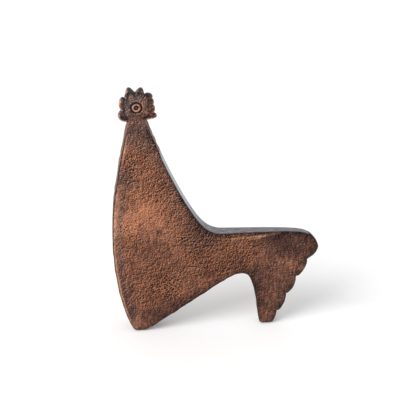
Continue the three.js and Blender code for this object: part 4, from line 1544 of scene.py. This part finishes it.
@dataclass(frozen=True)
class HeadPatina:
    """A darker patina, cool toward the beak and warm behind, with copper in the painted highlights on its
    rims.
    """

    recess: tuple = srgb(34, 28, 28)
    high: tuple = srgb(222, 164, 136)
    cool: Tones = Tones(recess, srgb(68, 59, 60), srgb(98, 84, 83), high, 0.3)
    warm: Tones = Tones(recess, srgb(84, 58, 48), srgb(124, 90, 74), high, 0.3)
    coarse: Ridges = Ridges(340.0, 0.0004, 0.26)
    fine: Ridges = Ridges(640.0, 0.00025, 0.4)
    blotches: Clouds = Clouds(260.0, 2.0, 0.6, 0.35, 0.65)
    base: float = 0.515
    metallic: float = 0.7
    roughness: float = 0.48
    bump_height: float = 0.0006

    def material(self) -> bpy.types.Material:
        """Builds the head's material.

        Returns:
            The material.
        """
        board = Board("head_patina")
        here = board.place()
        # painted light and shade on the strokes' sides, also used as bumps and in the roughness
        strokes = self.coarse.lit_and_shaded_sides(board, here) + self.fine.lit_and_shaded_sides(board, here)
        # tone carries painted highlights and shade on the rims and the eye
        rubbed = self.base + 0.78 * board.value("tone") + strokes
        relief, blotch = board.value("relief") - 0.6, self.blotches.at(board, here) - 0.5
        amount = rubbed + 0.2 * blotch + 0.14 * board.value("sunk") + 0.1 * relief
        cool, warm = self.cool.ramp(board, amount), self.warm.ramp(board, amount)
        return board.finish({
            "Base Color": board.blend(board.value("warm"), cool, warm),
            "Metallic": self.metallic,
            "Roughness": self.roughness - 0.1 * strokes,
            "Normal": board.bump(strokes, self.bump_height, 0.9),
        })


@dataclass(frozen=True)
class PinSteel:
    """Bright steel from the grinder, with fine rings from the grinding."""

    colour: tuple = srgb(164, 166, 170)
    worn: tuple = srgb(120, 122, 126)
    ring_stretch: tuple[float, float, float] = (1, 40, 1)
    ring_scale: float = 120.0

    def material(self) -> bpy.types.Material:
        """Builds the pins' material.

        Returns:
            The material.
        """
        board = Board("pin_steel")
        rings = board.noise(board.place(self.ring_stretch), self.ring_scale, 2.0)
        colour = board.blend(0.25 * rings, self.colour, self.worn)
        return board.finish({"Base Color": colour, "Metallic": 1.0, "Roughness": 0.22 + 0.2 * rings})


@dataclass(frozen=True)
class FootRubber:
    """Dull black-brown rubber with a fine grain."""

    colour: tuple = srgb(42, 37, 35)
    dusty: tuple = srgb(66, 60, 57)
    grain_scale: float = 900.0
    bump_height: float = 0.0001

    def material(self) -> bpy.types.Material:
        """Builds the pads' material.

        Returns:
            The material.
        """
        board = Board("foot_rubber")
        grain = board.noise(board.place(), self.grain_scale, 3.0)
        return board.finish({
            "Base Color": board.blend(0.5 * grain, self.colour, self.dusty),
            "Metallic": 0.0,
            "Roughness": 0.7 + 0.15 * grain,
            "Normal": board.bump(grain, self.bump_height, 0.4),
        })


# The studio


@dataclass(frozen=True)
class Lamp:
    """A far, wide lamp.

    turn is where it stands, in degrees round the object from the front and positive to the right,
    height its height in degrees above the table, strength what it gives a surface that faces it,
    and width its width in degrees.
    """

    name: str
    turn: float
    height: float
    strength: float
    width: float

    def light(self) -> None:
        """Puts the lamp in the scene."""
        data = bpy.data.lights.new(self.name, "SUN")
        data.energy = self.strength
        data.angle = math.radians(self.width)
        lamp = bpy.data.objects.new(self.name, data)
        lamp.rotation_euler = (math.radians(90 - self.height), 0, math.radians(self.turn))
        bpy.context.scene.collection.objects.link(lamp)


@dataclass
class Studio:
    """A white floor under soft light from the left, and the camera at the photograph's angle."""

    camera_place: tuple[float, float, float] = (-91.62, -963.88, 566.75)
    camera_turn: float = -4.5
    camera_drop: float = 24.0
    lens: float = 99.0
    lamps: tuple[Lamp, ...] = (
        Lamp("key_left", -52.0, 41.0, 1.85, 34.0),
        Lamp("side_left", -80.0, 16.0, 0.6, 24.0),
    )
    sensor_width: float = 36.0
    sky: float = 0.6
    floor_half: float = 6000.0
    floor_grey: float = 0.93
    floor_glow: float = 0.12

    def camera(self) -> None:
        """Places the camera that looks down on the hen from the front."""
        data = bpy.data.cameras.new("camera")
        data.lens = self.lens
        data.sensor_width = self.sensor_width
        data.clip_end = 50.0
        camera = bpy.data.objects.new("camera", data)
        camera.location = np.array(self.camera_place) * MM
        camera.rotation_euler = (math.radians(90 - self.camera_drop), 0, math.radians(self.camera_turn))
        bpy.context.scene.collection.objects.link(camera)
        bpy.context.scene.camera = camera

    def floor(self) -> None:
        """Makes the white floor, which keeps the hen's shadow."""
        half = self.floor_half * MM
        corners = [(-half, -half, 0), (half, -half, 0), (half, half, 0), (-half, half, 0)]
        mesh = bpy.data.meshes.new("floor")
        mesh.from_pydata(corners, [], [(0, 1, 2, 3)])
        floor = bpy.data.objects.new("floor", mesh)
        bpy.context.scene.collection.objects.link(floor)
        board = Board("floor_white")
        grey, white, strength = (*[self.floor_grey] * 3, 1), (1, 1, 1, 1), self.floor_glow * board.seen()
        diffuse = board.node("ShaderNodeBsdfDiffuse", {}, {"Color": grey})
        glow = board.node("ShaderNodeEmission", {}, {"Color": white, "Strength": strength})
        board.show(board.node("ShaderNodeAddShader", {}, {0: diffuse, 1: glow}))
        mesh.materials.append(board.owner)

    def world(self) -> None:
        """Lights from all round, white where the camera looks past the floor."""
        board = Board("studio", bpy.data.worlds)
        strength = self.sky + (1 - self.sky) * board.seen()
        sky = board.node("ShaderNodeBackground", {}, {"Color": (1, 1, 1, 1), "Strength": strength})
        board.show(sky, "ShaderNodeOutputWorld")
        bpy.context.scene.world = board.owner

    def build(self) -> None:
        """Sets up the whole studio."""
        self.camera()
        self.floor()
        self.world()
        for lamp in self.lamps:
            lamp.light()
        bpy.context.scene.view_settings.view_transform = "Standard"


# Putting it together


def stand_in(piece: bpy.types.Object, node: str, slot: str, material: bpy.types.Material) -> None:
    """Gives a new piece its finish, and lets it stand for a CAD node.

    Args:
        piece: the new piece.
        node: the CAD node that it replaces.
        slot: the record's material slot.
        material: its finish.
    """
    piece.data.materials.append(material)
    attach(piece, "root")
    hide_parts(node)
    LOG.info("%s stands for %s in %s", piece.name, node, slot)


@dataclass(frozen=True)
class Fittings:
    """The steel pins and the rubber pads: CAD nodes that stay as they are and get better finishes."""

    pins: tuple[str, ...] = (
        "dowel_neck", "dowel_breast", "dowel_back", "dowel_tail", "dowel_leg", "head_pin",
    )
    pads: tuple[str, ...] = ("breast_pad", "tail_pad")

    def repaint(self, node: str, material: bpy.types.Material) -> None:
        """Gives a node a finish in place of its plain colour.

        Args:
            node: the CAD node.
            material: its finish.
        """
        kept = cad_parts[node]
        if not kept.material_slots:
            kept.data.materials.append(material)
        for slot in kept.material_slots:
            slot.material = material
        LOG.info("%s repainted with %s", node, material.name)

    def dress(self, steel: bpy.types.Material, rubber: bpy.types.Material) -> None:
        """Gives all pins and pads their finishes."""
        for nodes, material in ((self.pins, steel), (self.pads, rubber)):
            for node in nodes:
                self.repaint(node, material)


def main() -> None:
    """Builds the castings, the pins' and pads' finishes, and the studio."""
    logging.basicConfig(level=logging.INFO, format="%(name)s: %(message)s")
    shape, copper = HenOutline(), CopperPatina().material()
    for side in Side:
        ShellCasting(side, shape).dress(copper)
    HeadCasting().dress(HeadPatina().material())
    Fittings().dress(PinSteel().material(), FootRubber().material())
    Studio().build()


if __name__ == "__main__":
    main()
